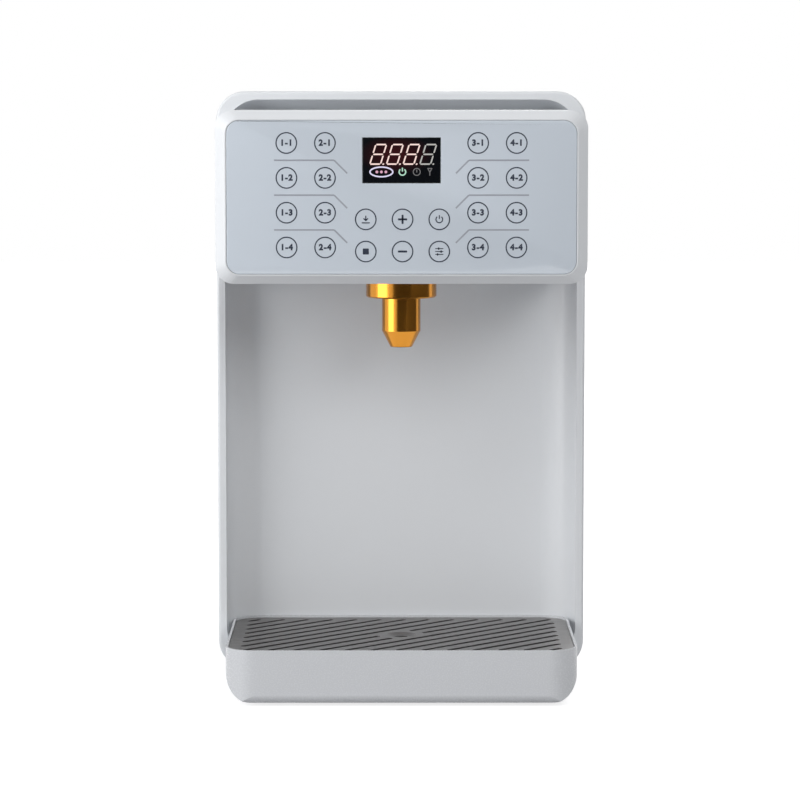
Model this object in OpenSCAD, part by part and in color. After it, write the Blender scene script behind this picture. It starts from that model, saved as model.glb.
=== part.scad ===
// Countertop fructose dispenser: a wrapped casing with a dished front, a key head
// that carries the nozzle, a syrup tank and gear pump inside, and a drip tray.
// +X is to the right, -Y is the front and +Z is up. The origin is on the table,
// midway between the face of the head and the back of the casing.

/* [Casing] */
// Width of the casing
body_w = 270; // [264:1:290]
// Height of the casing's top above the table
body_h = 430; // [426:1:450]
// Depth of the casing behind its front frame
body_d = 290; // [284:1:310]
// Corner radius of the casing, seen from the front
body_r = 21; // [16:1:26]
// Thickness of the casing's wall
shell_t = 1.5; // [1.2:0.1:2]
// Height of the rubber feet
foot_h = 4; // [3:0.5:8]
// Diameter of a rubber foot
foot_d = 20; // [16:1:26]
// Distance of the feet from the front and back of the casing
foot_inset = 32; // [28:1:40]
// Distance of the feet from the sides of the casing
foot_side = 40; // [36:1:50]
// Diameter of the stem that holds a foot
foot_stem_d = 5; // [4:0.5:6]

/* [Front moulding] */
// Width of the flat frame around the recess
band_w = 6; // [4:0.5:8]
// Thickness of that frame
band_t = 6; // [4:0.5:8]
// Radius of the frame's outer edge
band_edge_r = 2; // [1:0.25:3]
// Depth of the dished recess, and the radius of its sides and corners
dish_d = 25; // [22:1:28]
// Wall of the recess
fascia_t = 3; // [2:0.25:4]
// Width of the opening behind the head for the hose and cables
neck_w = 150; // [110:1:170]
// Height of that opening
neck_h = 70; // [58:1:78]
// Depth of the lip that sits inside the casing
lip_d = 6; // [4:0.5:9]
// Thickness of that lip
lip_t = 1.5; // [1:0.1:2]

/* [Head] */
// Distance that the head stands out in front of the frame
head_out = 130; // [120:1:140]
// Height of the head
head_h = 120; // [116:1:128]
// Gap between the head and the top of the recess
head_top_gap = 7.5; // [6:0.5:10]
// Corner radius of the head
head_r = 12.5; // [10:0.5:16]
// Wall of the head's housing
head_t = 2.5; // [2:0.1:3.5]
// Depth of the front bezel behind its slope
bezel_skirt = 6; // [4:0.5:10]
// Depth of the bezel's slope
bezel_slope = 6; // [4:0.5:8]
// Width of the slope at the sides
bezel_side = 7; // [5:0.5:9]
// Width of the slope at the top and bottom
bezel_top = 6; // [4:0.5:8]
// Flat lip between the slope and the key plate
bezel_lip = 1; // [0.8:0.1:2]
// Width of the ledge that carries the key plate
ledge_w = 4; // [3:0.5:6]
// Thickness of the key plate
plate_t = 3; // [2:0.5:4]
// Corner radius of the key plate
plate_r = 9; // [6:0.5:12]
// Thickness of the key sensor board
board_t = 1.6; // [1:0.2:2.4]

/* [Display] */
// Width of the display lens
lens_w = 53.5; // [45:0.5:60]
// Height of the display lens
lens_h = 31; // [26:0.5:34]
// Thickness of the display lens
lens_t = 1; // [0.8:0.1:1.4]
// Height of the lens centre above the centre of the key plate
lens_rise = 25.5; // [22:0.5:28]
// Width of the rebate that carries the lens
lens_rebate = 2; // [1.5:0.25:3]
// Depth of the display module behind the lens
display_d = 14; // [10:1:20]

/* [Nozzle] */
// Distance of the nozzle's axis behind the head's face
nozzle_in = 77; // [70:1:90]
// Diameter of the brass collar under the head
collar_d = 50.5; // [46:0.5:56]
// Height of the collar
collar_h = 13.5; // [12:0.5:18]
// Diameter of the collar's threaded shank
shank_d = 24; // [22:0.5:30]
// Length of the shank inside the head
shank_h = 14; // [12:0.5:20]
// Diameter of the nozzle
nozzle_d = 27.6; // [26:0.2:32]
// Length of the nozzle's straight part
nozzle_straight = 24; // [18:0.5:30]
// Length of the nozzle's tapered tip
nozzle_taper = 11.6; // [8:0.2:16]
// Diameter of the nozzle's tip
nozzle_tip_d = 16; // [13:0.5:20]
// Diameter of the nozzle's outlet
outlet_d = 9; // [6:0.5:11]
// Diameter of the valve chamber inside the nozzle
chamber_d = 16; // [15:0.5:17.5]
// Diameter of the spigot that enters the collar
spigot_d = 20; // [19.5:0.5:21.5]
// Length of that spigot
spigot_h = 9; // [7:0.5:10]
// Diameter of the check valve's disc
poppet_d = 12; // [11:0.5:13.5]
// Travel of the check valve
poppet_travel = 4; // [2:0.5:5]
// Wire diameter of the valve spring
wire_d = 0.9; // [0.7:0.1:1.1]

/* [Syrup tank] */
// Width of the tank
tank_w = 208; // [200:1:212]
// Distance from the recess wall to the tank, where the delivery hose rises
tank_gap = 16; // [14:0.5:20]
// Distance from the tank to the back of the casing
tank_back = 18; // [16:1:30]
// Height of the deck that carries the tank, above the table
deck_z = 186; // [176:1:200]
// Wall of the tank
tank_t = 1; // [0.8:0.1:1.5]
// Corner radius of the tank
tank_r = 22; // [15:1:30]
// Radius of the tank's bottom edge
tank_edge_r = 12; // [8:1:15]
// Width of the tank's rim
rim_w = 6; // [5:0.5:8]
// Thickness of the heater pad under the tank
pad_t = 4; // [3:0.5:6]
// Thickness of the gasket between the rim and the lid seat
gasket_t = 6; // [4:0.5:10]

/* [Lid] */
// Distance of the top lid from the casing's sides
lid_side = 35; // [33:1:40]
// Distance of the lid's front edge behind the frame
lid_inset = 40; // [38:1:44]
// Distance from the lid's front edge to its hinge axis
lid_d = 226; // [216:1:228]
// Thickness of the lid
lid_t = 3; // [2:0.5:3.5]
// Radius of the lid's hinge knuckle
knuckle_r = 4.25; // [4:0.25:4.25]
// Gap around the lid
lid_gap = 1; // [0.8:0.1:1.5]
// Corner radius of the lid
lid_r = 12; // [8:1:16]
// Diameter of the hinge pin
pin_d = 3; // [2.5:0.25:3.5]
// Height of the skirt under the lid
skirt_h = 3.5; // [2:0.5:5]
// Overlap of the lid on its seat
seat_w = 8; // [6:0.5:10]
// Diameter of the finger scoop in front of the lid
scoop_d = 32; // [28:1:36]

/* [Drip tray] */
// Width of the tray
tray_w = 248; // [240:1:250]
// Height of the tray's rim above the table
tray_h = 40; // [39:0.5:50]
// Height of the tray's pads
tray_foot = 2; // [1:0.5:3]
// Corner radius of the tray, from above and from the front
tray_r = 20; // [16:1:22]
// Radius of the tray's lower front edge
tray_edge_r = 6; // [4:0.5:8]
// Wall of the tray
tray_t = 1.6; // [1.2:0.1:2.4]
// Width of the ledge that carries the grid
grid_ledge = 3; // [2:0.5:4]
// Depth of the grid below the rim
grid_drop = 1.6; // [1:0.1:3]
// Thickness of the grid
grid_t = 1.2; // [0.8:0.1:2]
// Width of a slot in the grid
slot_w = 4; // [3:0.25:5]
// Distance between slots, along the front edge
slot_pitch = 18; // [16:0.5:22]
// Plain margin around the slots
slot_margin = 9; // [7:0.5:12]
// Plain ring around the centre dimple, where no slot runs
slot_clear_d = 34; // [30:1:40]
// Diameter of the hole in the centre dimple
dimple_hole_d = 10; // [8:0.5:12]

/* [Pump] */
// Height of the drive gear's axis above the table
drive_z = 54; // [52:1:58]
// Module of the gears
gear_module = 2.5; // [2.4:0.05:2.6]
// Teeth on each gear
gear_teeth = 12; // [10:2:14]
// Width of the gears
gear_w = 20; // [14:1:26]
// Backlash between the gears
backlash = 0.2; // [0.15:0.05:0.4]
// Wall of the pump around its gears
pump_wall = 8.5; // [7.5:0.5:10]
// Thickness of the pump's front cover
pump_cover_t = 8; // [7:0.5:12]
// Thickness of the pump's rear wall
pump_back_t = 10; // [8:0.5:12]
// Distance of the gears' front face behind the recess wall's inner face
pump_in = 32; // [30:1:40]
// Diameter of the gear shafts
shaft_d = 8; // [7:0.5:9]
// Length of the pump's stand-offs
standoff_h = 26; // [24:1:34]
// Diameter of the stand-offs
standoff_d = 8; // [7:0.5:9]
// Distance of the pump's ports from its axis
port_x = 42; // [40:1:46]
// Diameter of the pump's pipe fittings
fitting_d = 12; // [11:0.5:13]
// Outside diameter of the hoses
hose_d = 10; // [9:0.5:11]
// Bore of the hoses
hose_bore = 6.4; // [6:0.1:7]

/* [Motor and electrics] */
// Diameter of the gearbox
gearbox_d = 60; // [50:1:64]
// Length of the gearbox
gearbox_l = 30; // [24:1:40]
// Diameter of the motor
motor_d = 50; // [40:1:54]
// Length of the motor
motor_l = 68; // [50:1:75]
// Thickness of the steel brackets and plates
plate_steel = 1.5; // [1.2:0.1:2.5]
// Width of the power supply
supply_w = 54; // [44:1:56]
// Length of the power supply and of the control board
supply_l = 96; // [80:1:110]
// Height of the power supply
supply_h = 34; // [26:1:44]
// Height of the inlet and the switch above the table
inlet_z = 80; // [74:1:110]
// Distance of the inlet and the switch from the middle
inlet_x = 62; // [50:1:75]
// Width of one ventilation slot
vent_w = 60; // [40:1:70]
// Gap between the two columns of ventilation slots
vent_gap = 24; // [16:1:40]
// Height of one ventilation slot
vent_h = 4; // [2.5:0.5:5]
// Distance between ventilation slots
vent_pitch = 10; // [8:0.5:14]
// Ventilation slots in a column
vent_rows = 7; // [4:1:8]
// Height of the lowest slot above the inlet and the switch
vent_rise = 70; // [40:1:80]
// Distance of the highest slot below the casing's top
vent_below_top = 30; // [24:1:60]

/* [Hidden] */
$fn = 64;
hull_fn = 32;
slip = 0.3;          // clearance of a part that lifts or slides out
fit = 0.2;           // clearance of a part that is assembled once
running = 0.05;      // radial clearance of a shaft in its bore
sink = 0.2;          // overlap of shapes that are joined into one solid
screw_d = 3.5;
screw_head_d = 7;
screw_head_h = 2;

front_y = -(head_out + body_d) / 2;
frame_y = front_y + head_out;
back_y = frame_y + body_d;
casing_h = body_h - foot_h;
casing_z = foot_h + casing_h / 2;
inner_w = body_w - 2 * shell_t;
floor_z = foot_h + shell_t;
dish_w = body_w - 2 * band_w;
dish_h = casing_h - 2 * band_w;
dish_y = frame_y + dish_d;
fascia_y = dish_y + fascia_t;

head_w = dish_w;
head_top = foot_h + band_w + dish_h - head_top_gap;
head_z = head_top - head_h;
head_mid = head_z + head_h / 2;
bezel_y = front_y + bezel_slope + bezel_skirt;
plate_w = head_w - 2 * (bezel_side + bezel_lip);
plate_h = head_h - 2 * (bezel_top + bezel_lip);
plate_back = front_y + plate_t;
lens_z = head_mid + lens_rise;
neck_drop = 8;       // how far the neck sits below the middle of the head
neck_z = head_mid - neck_drop;
neck_r = 10;
nozzle_y = front_y + nozzle_in;
nozzle_top = head_z - collar_h;
elbow_rise = 36;     // height of the outlet elbow above the head's floor
elbow_z = head_z + head_t + elbow_rise;
head_screw_out = 9;
head_screw_in = 8;
valve_seat_t = 3;
valve_z = nozzle_top + spigot_h - 4 - valve_seat_t;
valve_gap = 0.1;     // gap between the check valve's disc and its seat
poppet_t = 3;
poppet_stem = 5;     // length of the stem under the disc
valve_room = 10.7;   // free height under the stem when the valve is open
shoulder_z = valve_z - valve_gap - poppet_t - poppet_stem - poppet_travel - valve_room;
spring_turns = 5;
spring_steps = 10;
spring_r = 4.4;
spring_z0 = shoulder_z + wire_d / 2 + 0.1;
spring_z1 = valve_z - valve_gap - poppet_t - wire_d / 2 - 0.1;

lid_w = body_w - 2 * lid_side;
seat_edge = 2;       // gap between the lid seat and the casing's round edge
seat_out = body_w / 2 - body_r - seat_edge - lid_w / 2;
seat_t = 7.5;
seat_z = body_h - shell_t - seat_t;
lid_y = frame_y + lid_inset;
hinge_y = lid_y + lid_d;
lid_edge_r = 0.8;
mouth_w = lid_w - 2 * seat_w;
mouth_l = lid_d - 2 * seat_w - 4;
skirt_t = 1.5;
skirt_gap = 1.5;     // between the skirt and the mouth's sides
skirt_swing = 2;     // and at its ends, where the skirt swings
hinge_z = body_h - knuckle_r;
tank_y0 = fascia_y + tank_gap;
tank_y1 = back_y - tank_back;
tank_len = tank_y1 - tank_y0;
tank_mid = (tank_y0 + tank_y1) / 2;
tank_z = deck_z + pad_t;
tank_top = seat_z - gasket_t;
thermostat_z = tank_z + (tank_top - tank_z) / 6 + 2.5;

tray_y1 = dish_y - 0.5;
tray_len = tray_y1 - front_y;
tray_mid = (tray_y1 + front_y) / 2;
grid_z = tray_h - grid_drop - grid_t;
grid_w = tray_w - 2 * (tray_t + slip);
grid_len = tray_len - 2 * (tray_t + slip);
grid_r = tray_r - tray_t - slip;
dimple_d = 24;       // outside diameter of the dimple under the grid
dimple_h = 1.6;      // depth of the dimple under the grid
dimple_lip = 2;      // flat ring around the dimple's hole
pad_d = 14;          // the tray's pads, and where they sit
pad_front = 30;
pad_back = 22;
pad_side = 34;

pitch_r = gear_module * gear_teeth / 2;
tip_r = pitch_r + 0.9 * gear_module;
root_r = pitch_r - 1.25 * gear_module;
pressure = 20;       // pressure angle of the teeth
base_r = pitch_r * cos(pressure);
flank = [root_r, base_r, base_r + (tip_r - base_r) / 3, base_r + (tip_r - base_r) * 2 / 3, tip_r];
gear_gap = 0.2;      // end gap of a gear in the pump
cavity_r = tip_r + slip;
driven_z = drive_z + 2 * pitch_r;
pump_y = fascia_y + pump_in;
pump_r = cavity_r + pump_wall;
cavity_l = gear_w + 2 * gear_gap;
pump_back = pump_y + cavity_l + pump_back_t;
bracket_y = pump_back + standoff_h;
gearbox_y = bracket_y + plate_steel;
motor_y = gearbox_y + gearbox_l;
port_y = pump_y + cavity_l / 2;
port_z = (drive_z + driven_z) / 2;
port_top = port_z + 12;
barb_d = hose_bore - 0.8;
barb_l = 10;
duct_d = 3.6;        // bore of the pipe fittings
base_top = floor_z + plate_steel;
stand_gap = 23.5;    // between the tank's stand and the casing's wall
stand_x = inner_w / 2 - stand_gap;
stand_flange = 16;   // width of the stand's feet
stand_screw_in = 20;
bracket_w = 76;
bracket_foot = 40;
bracket_rise = 20;   // how far the bracket stands above the driven gear's axis
outlet_neck_d = 20;  // hole in the deck around the tank outlet
outlet_pipe_d = 16;
outlet_flange_d = 26;
cover_in = 4.5;      // how far the rear cover sits inside the casing's edge
cover_y = back_y - cover_in;
cover_t = 1.5;
cover_screw_end = 46;
tab_w = 16;
tab_h = 18;
stand_y1 = cover_y - 10;
stand_y0 = tank_y0;
electrics_y = stand_y1 - 26 - supply_l;
supply_x = gearbox_d / 2 + 8;
supply_edge = 5;     // wall beside the terminals
supply_shelf = 8;    // height of the shelf that carries them
terminal_d = 12;     // depth of the terminal bay
pillar_h = 8;        // height of the control board above the base plate
tank_tail = tank_z - deck_z + 26;
panel_y = cover_y + cover_t;
inlet_flange_w = 50;
inlet_flange_h = 28;
inlet_body_w = 27.5;
inlet_body_h = 20;
inlet_body_d = 22;
switch_w = 13;
switch_h = 19.2;
rocker_w = 9;
rocker_r = 8.7;      // clear radius around the rocker's axis
rocker_y = panel_y - 2.9;
rocker_tilt = 8;     // how far the rocker leans at rest, in degrees
hose_y = (fascia_y + tank_y0) / 2;
hose_bend_r = 18;
elbow_reach = 13;    // length of the outlet elbow from the nozzle's axis to its barb

// ---- shapes used throughout ----

// Rounded rectangle, centred
module rrect(w, h, r) {
    if (r > 0) {
        square([w - 2 * r, h], center = true);
        square([w, h - 2 * r], center = true);
        for (x = [-1, 1], y = [-1, 1])
            translate([x * (w / 2 - r), y * (h / 2 - r)]) circle(r);
    } else {
        square([w, h], center = true);
    }
}

// Rounded rectangle whose two corners on the +y side have another radius
module rrect2(w, h, r, far_r) {
    intersection() {
        rrect(w, h, r);
        translate([-w / 2, -h / 2]) square([w, h / 2 + 0.01]);
    }
    intersection() {
        rrect(w, h, far_r);
        translate([-w / 2, 0]) square([w, h / 2]);
    }
}

// Quarter disc, with a strip k wide that is buried in what it is joined to
module quarter(e, k) {
    intersection() {
        circle(e);
        square(e);
    }
    if (k > 0) translate([-k, 0]) square([k + 0.01, e - 0.01]);
}

// Plate d thick on the XY plane, with its corners rounded to r and its far rim to e
module slab(w, h, r, d, e) {
    k = min(sink, r - e);
    linear_extrude(d) rrect(w - 2 * e, h - 2 * e, r - e);
    if (d > e) linear_extrude(d - e) rrect(w, h, r);
    for (s = [-1, 1]) {
        translate([0, s * (h / 2 - e), d - e]) rotate([90, 0, s * 90])
            translate([0, 0, r - w / 2]) linear_extrude(w - 2 * r) quarter(e, k);
        translate([s * (w / 2 - e), 0, d - e]) rotate([90, 0, 90 - s * 90])
            translate([0, 0, r - h / 2]) linear_extrude(h - 2 * r) quarter(e, k);
        for (t = [-1, 1])
            translate([s * (w / 2 - r), t * (h / 2 - r), d - e])
                rotate([0, 0, s > 0 ? (t > 0 ? 0 : 270) : (t > 0 ? 90 : 180)])
                    rotate_extrude(angle = 90) translate([r - e, 0]) quarter(e, k);
    }
}

// Extrudes an outline drawn in X and Z from y0 back to y1
module along_y(y0, y1, z = 0) {
    translate([0, y1, z]) rotate([90, 0, 0]) linear_extrude(y1 - y0) children();
}

// Extrudes an outline drawn in Y and Z from x0 to x1
module along_x(x0, x1) {
    translate([x0, 0, 0]) rotate([90, 0, 90]) linear_extrude(x1 - x0) children();
}

// Round bar along Y
module bar_y(d, y0, y1, x = 0, z = 0) {
    translate([x, y0, z]) rotate([-90, 0, 0]) cylinder(h = y1 - y0, d = d);
}

// Round bar along X
module bar_x(d, x0, x1, y = 0, z = 0) {
    translate([x0, y, z]) rotate([0, 90, 0]) cylinder(h = x1 - x0, d = d);
}

// Block between two corners
module block(a, b) {
    translate(a) cube(b - a);
}

// Pan-head screw on the XY plane, its head up and its shank below, with a cross recess
module screw(l) {
    difference() {
        cylinder(h = screw_head_h, d = screw_head_d);
        for (a = [0, 90]) rotate([0, 0, a])
            translate([-2, -0.4, screw_head_h - 1]) cube([4, 0.8, 2]);
    }
    translate([0, 0, -l]) cylinder(h = l, d = screw_d);
}

// Hexagonal nut or screw head on the XY plane, with a bore or without
module hexagon(across, h, bore = 0) {
    difference() {
        cylinder(h = h, d = across / cos(30), $fn = 6);
        if (bore > 0) translate([0, 0, -1]) cylinder(h = h + 2, d = bore);
    }
}

// ---- routes and tubes ----

function unit(v) = v / norm(v);

// Replaces the corner b of a route by an arc of radius r, in k steps
function bend(a, b, c, r, k = 5) =
    let (u = unit(a - b), v = unit(c - b), t = acos(u * v), l = r / tan(t / 2))
    let (m = b + unit(u + v) * r / sin(t / 2), s = b + u * l - m, e = b + v * l - m)
    [for (i = [0:k]) m + (sin((1 - i / k) * (180 - t)) * s + sin(i / k * (180 - t)) * e) / sin(180 - t)];

// The points of a route whose corners are all rounded
function route(p, r) = [
    p[0],
    for (i = [1:len(p) - 2]) each bend(p[i - 1], p[i], p[i + 1], r),
    p[len(p) - 1]
];

function tangents(p) = [
    for (i = [0:len(p) - 1]) unit(p[min(i + 1, len(p) - 1)] - p[max(i - 1, 0)])
];

// A normal at each point, carried along without twist
function normals(t, start) = [
    for (i = 0, n = unit(start - (start * t[0]) * t[0]); i < len(t);
        i = i + 1, n = i < len(t) ? unit(n - (n * t[i]) * t[i]) : n) n
];

function ring(p, t, n, r, k) = [
    for (j = [0:k - 1]) p + r * (cos(360 * j / k) * n + sin(360 * j / k) * cross(t, n))
];

// Two triangles for each side between neighbouring rings of k points
function skin(first, rings, k) = [
    for (i = [0:rings - 2], j = [0:k - 1])
        let (a = first + i * k + j, b = first + i * k + (j + 1) % k)
        each [[a, b, b + k], [a, b + k, a + k]]
];

function flip(faces) = [for (f = faces) [f[2], f[1], f[0]]];

// Solid wire along a route
module wire(p, r, k, start) {
    t = tangents(p);
    n = normals(t, start);
    last = (len(p) - 1) * k;
    polyhedron(
        [for (i = [0:len(p) - 1]) each ring(p[i], t[i], n[i], r, k)],
        concat(
            flip(skin(0, len(p), k)),
            [for (j = [1:k - 2]) [0, j, j + 1]],
            [for (j = [1:k - 2]) [last, last + j + 1, last + j]]
        )
    );
}

// Hose with a bore along a route
module hose(p, r, bore_r, k, start) {
    t = tangents(p);
    n = normals(t, start);
    count = len(p);
    inner = count * k;
    polyhedron(
        concat(
            [for (i = [0:count - 1]) each ring(p[i], t[i], n[i], r, k)],
            [for (i = [0:count - 1]) each ring(p[i], t[i], n[i], bore_r, k)]
        ),
        concat(
            flip(skin(0, count, k)),
            skin(inner, count, k),
            [for (j = [0:k - 1]) let (m = (j + 1) % k) each [[j, m, inner + m], [j, inner + m, inner + j]]],
            [for (j = [0:k - 1]) let (m = (j + 1) % k, e = (count - 1) * k)
                each [[e + j, inner + e + m, e + m], [e + j, inner + e + j, inner + e + m]]]
        )
    );
}

// ---- casing ----

// Where the rear cover's screws go, in X and Z, and the feet, in X and Y
cover_screw_at = [
    for (s = [-1, 1], z = [foot_h + cover_screw_end, casing_z, body_h - cover_screw_end])
        [s * (inner_w / 2 - tab_w / 2), z]
];
foot_at = [
    for (x = [-1, 1], y = [frame_y + foot_inset, back_y - foot_inset]) [x * (body_w / 2 - foot_side), y]
];

module lid_outline(gap) {
    d = lid_d + knuckle_r + 2 * gap;
    translate([0, lid_y - gap + d / 2]) rrect2(lid_w + 2 * gap, d, lid_r + gap, 1);
}

module casing() color("white") difference() {
    union() {
        along_y(frame_y + band_t, back_y, casing_z) difference() {
            rrect(body_w, casing_h, body_r);
            rrect(inner_w, casing_h - 2 * shell_t, body_r - shell_t);
        }
        // tabs that the rear cover is screwed to
        for (p = cover_screw_at) {
            side = sign(p[0]);
            tab = tab_w + shell_t / 2;
            along_y(cover_y - cover_t, cover_y, p[1])
                translate([side * (inner_w / 2 - tab_w + tab / 2), 0]) square([tab, tab_h], center = true);
        }
    }
    translate([0, 0, body_h - shell_t - 1]) linear_extrude(shell_t + 2) lid_outline(lid_gap);
    translate([0, lid_y, body_h - shell_t - 1]) cylinder(h = shell_t + 2, d = scoop_d);
    for (p = foot_at) translate([p[0], p[1], foot_h - 1])
        cylinder(h = shell_t + 2, d = foot_stem_d + 2 * fit);
    for (p = cover_screw_at) bar_y(screw_d + fit, cover_y - cover_t - 1, cover_y + 1, p[0], p[1]);
}

// The recess, drawn inwards by i, and open to the front by front
module dish(i, front = 0) {
    translate([0, frame_y - front, casing_z]) rotate([-90, 0, 0])
        slab(dish_w - 2 * i, dish_h - 2 * i, dish_d - i, dish_d - i + front, dish_d - i);
}

module neck(y0, y1) {
    along_y(y0, y1, neck_z) rrect(neck_w, neck_h, neck_r);
}

// Where the head's screws go, in X and Z
head_screw_at = [
    for (x = [-1, 1], z = [-1, 1])
        [x * (neck_w / 2 + head_screw_out), neck_z + z * (neck_h / 2 - head_screw_in)]
];

module front_moulding() color("whitesmoke") difference() {
    union() {
        translate([0, frame_y + band_t, casing_z]) rotate([90, 0, 0])
            slab(body_w, casing_h, body_r, band_t, band_edge_r);
        along_y(frame_y + band_t, frame_y + band_t + lip_d, casing_z) difference() {
            rrect(inner_w - 2 * fit, casing_h - 2 * (shell_t + fit), body_r - shell_t - fit);
            rrect(inner_w - 2 * (fit + lip_t), casing_h - 2 * (shell_t + fit + lip_t),
                body_r - shell_t - fit - lip_t);
        }
        dish(-fascia_t);
    }
    dish(0, 1);
    neck(dish_y - 1, fascia_y + 1);
    for (p = head_screw_at) bar_y(screw_d + fit, dish_y - 1, fascia_y + 1, p[0], p[1]);
}

// Two columns of slots, the lowest at height z
module vent_slots(z) {
    for (s = [-1, 1], i = [0:vent_rows - 1])
        translate([s * (vent_w + vent_gap) / 2, z + i * vent_pitch]) rrect(vent_w, vent_h, vent_h / 2 - 0.1);
}

module rear_cover() color("white") difference() {
    along_y(cover_y, cover_y + cover_t, casing_z)
        rrect(inner_w - 2 * slip, casing_h - 2 * (shell_t + slip), body_r - shell_t - slip);
    along_y(cover_y - 1, cover_y + cover_t + 1) {
        vent_slots(inlet_z + vent_rise);
        vent_slots(body_h - vent_below_top - (vent_rows - 1) * vent_pitch);
        translate([-inlet_x, inlet_z])
            square([inlet_body_w + 2 * fit, inlet_body_h + 2 * fit], center = true);
        translate([inlet_x, inlet_z]) square([switch_w + 2 * fit, switch_h + 2 * fit], center = true);
    }
    for (p = cover_screw_at)
        bar_y(screw_d + fit, cover_y - 1, cover_y + cover_t + 1, p[0], p[1]);
}

module cover_screws() color("silver")
    for (p = cover_screw_at) translate([p[0], cover_y + cover_t, p[1]]) rotate([-90, 0, 0]) screw(10);

// Where the stand and the motor bracket are screwed to the base plate, in X and Y
stand_screw_at = [
    for (x = [-1, 1], y = [stand_y0 + stand_screw_in, stand_y1 - stand_screw_in])
        [x * (stand_x - stand_flange / 2), y]
];
bracket_screw_at = [for (x = [-1, 1]) [x * (bracket_w / 2 - 12), bracket_y + bracket_foot / 2 + 2]];

module base_plate() color("lightgray") difference() {
    x1 = body_w / 2 - body_r - 2;
    block([-x1, fascia_y + 2, floor_z], [x1, cover_y - cover_t - fit, base_top]);
    for (p = foot_at) translate([p[0], p[1], floor_z - 1])
        cylinder(h = plate_steel + 2, d = foot_stem_d + 2 * fit);
    for (p = concat(stand_screw_at, bracket_screw_at)) translate([p[0], p[1], floor_z - 1])
        cylinder(h = plate_steel + 2, d = screw_d + fit);
}

module feet() color("dimgray")
    for (p = foot_at) translate([p[0], p[1], 0]) {
        rotate_extrude() polygon([
            [0, 0], [foot_d / 2 - 1.5, 0], [foot_d / 2, 1], [foot_d / 2, foot_h], [0, foot_h]
        ]);
        cylinder(h = base_top, d = foot_stem_d);
        translate([0, 0, base_top]) cylinder(h = 2, d1 = foot_stem_d + 2, d2 = foot_stem_d - 2);
    }

// ---- tank and its stand ----

module tank_stand() color("silver") difference() {
    union() {
        block([-stand_x, stand_y0, deck_z - plate_steel], [stand_x, stand_y1, deck_z]);
        for (s = [-1, 1]) {
            translate([s * (stand_x - plate_steel / 2), 0, 0])
                block([-plate_steel / 2, stand_y0, base_top], [plate_steel / 2, stand_y1, deck_z]);
            translate([s * (stand_x - stand_flange / 2), 0, base_top])
                block([-stand_flange / 2, stand_y0, 0], [stand_flange / 2, stand_y1, plate_steel]);
        }
    }
    translate([-port_x, port_y, deck_z - plate_steel - 1])
        cylinder(h = plate_steel + 2, d = outlet_neck_d + 2 * fit);
    for (p = stand_screw_at) translate([p[0], p[1], base_top - 1])
        cylinder(h = plate_steel + 2, d = screw_d + fit);
    // holes that clear the heads of the feet
    for (p = foot_at) translate([p[0], p[1], base_top - 1])
        cylinder(h = plate_steel + 2, d = foot_stem_d + 4);
}

module stand_screws() color("silver")
    for (p = concat(stand_screw_at, bracket_screw_at))
        translate([p[0], p[1], base_top + plate_steel]) screw(plate_steel * 2);

module tank_form(i) {
    h = tank_top - tank_z;
    translate([0, tank_mid, tank_top]) mirror([0, 0, 1])
        slab(tank_w - 2 * i, tank_len - 2 * i, tank_r - i, h - i, tank_edge_r - i);
}

module syrup_tank() color("silver") difference() {
    union() {
        tank_form(0);
        translate([0, tank_mid, tank_top - 2]) linear_extrude(2)
            rrect(tank_w + 2 * rim_w, tank_len + 2 * rim_w, tank_r + rim_w);
    }
    tank_form(tank_t);
    translate([0, tank_mid, tank_top - 1]) linear_extrude(2)
        rrect(tank_w - 2 * tank_t, tank_len - 2 * tank_t, tank_r - tank_t);
    translate([-port_x, port_y, tank_z - 1]) cylinder(h = tank_t + 2, d = outlet_pipe_d + 2 * fit);
}

module tank_gasket() color("dimgray") translate([0, tank_mid, tank_top]) linear_extrude(gasket_t)
    difference() {
        rrect(tank_w + 2 * rim_w - 2, tank_len + 2 * rim_w - 2, tank_r + rim_w - 1);
        rrect(tank_w, tank_len, tank_r);
    }

module heater_pad() color("orangered") difference() {
    translate([0, tank_mid, deck_z]) linear_extrude(pad_t)
        rrect(tank_w - 2 * (tank_edge_r + 5), tank_len - 2 * (tank_edge_r + 5), 10);
    translate([-port_x, port_y, deck_z - 1]) cylinder(h = pad_t + 2, d = outlet_flange_d + 6);
}

module thermostat() color("black") {
    bar_y(16, tank_y1, tank_y1 + 6, 0, thermostat_z);
    along_y(tank_y1, tank_y1 + 1.5, thermostat_z) rrect(30, 9, 4.4);
}

// Flange inside the tank, nut under the deck, and a barb for the suction hose
module tank_outlet() color("whitesmoke") difference() {
    tail_z = tank_z - tank_tail;
    translate([-port_x, port_y, 0]) {
        translate([0, 0, tank_z + tank_t]) cylinder(h = 2.5, d = outlet_flange_d);
        translate([0, 0, tail_z + 10]) cylinder(h = tank_tail - 10 + tank_t, d = outlet_pipe_d);
        translate([0, 0, deck_z - plate_steel - 8]) hexagon(outlet_flange_d, 8);
        translate([0, 0, tail_z]) cylinder(h = 12, d = fitting_d);
        translate([0, 0, tail_z - barb_l]) cylinder(h = barb_l, d = barb_d);
    }
    translate([-port_x, port_y, tail_z - barb_l - 1]) cylinder(h = tank_tail + barb_l + 8, d = duct_d);
}

// ---- hoses ----

suction_route = [
    [-port_x, port_y, port_top], [-port_x, port_y, (port_top + tank_z - tank_tail) / 2],
    [-port_x, port_y, tank_z - tank_tail]
];
delivery_corners = [
    [port_x, port_y, port_top], [port_x, port_y, port_top + 34], [port_x, hose_y, port_top + 74],
    [port_x, hose_y, elbow_z], [port_x, dish_y - 25, elbow_z],
    [0, nozzle_y + elbow_reach + 22, elbow_z], [0, nozzle_y + elbow_reach, elbow_z]
];

module suction_hose() color("gainsboro") hose(suction_route, hose_d / 2, hose_bore / 2, 12, [1, 0, 0]);

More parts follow.
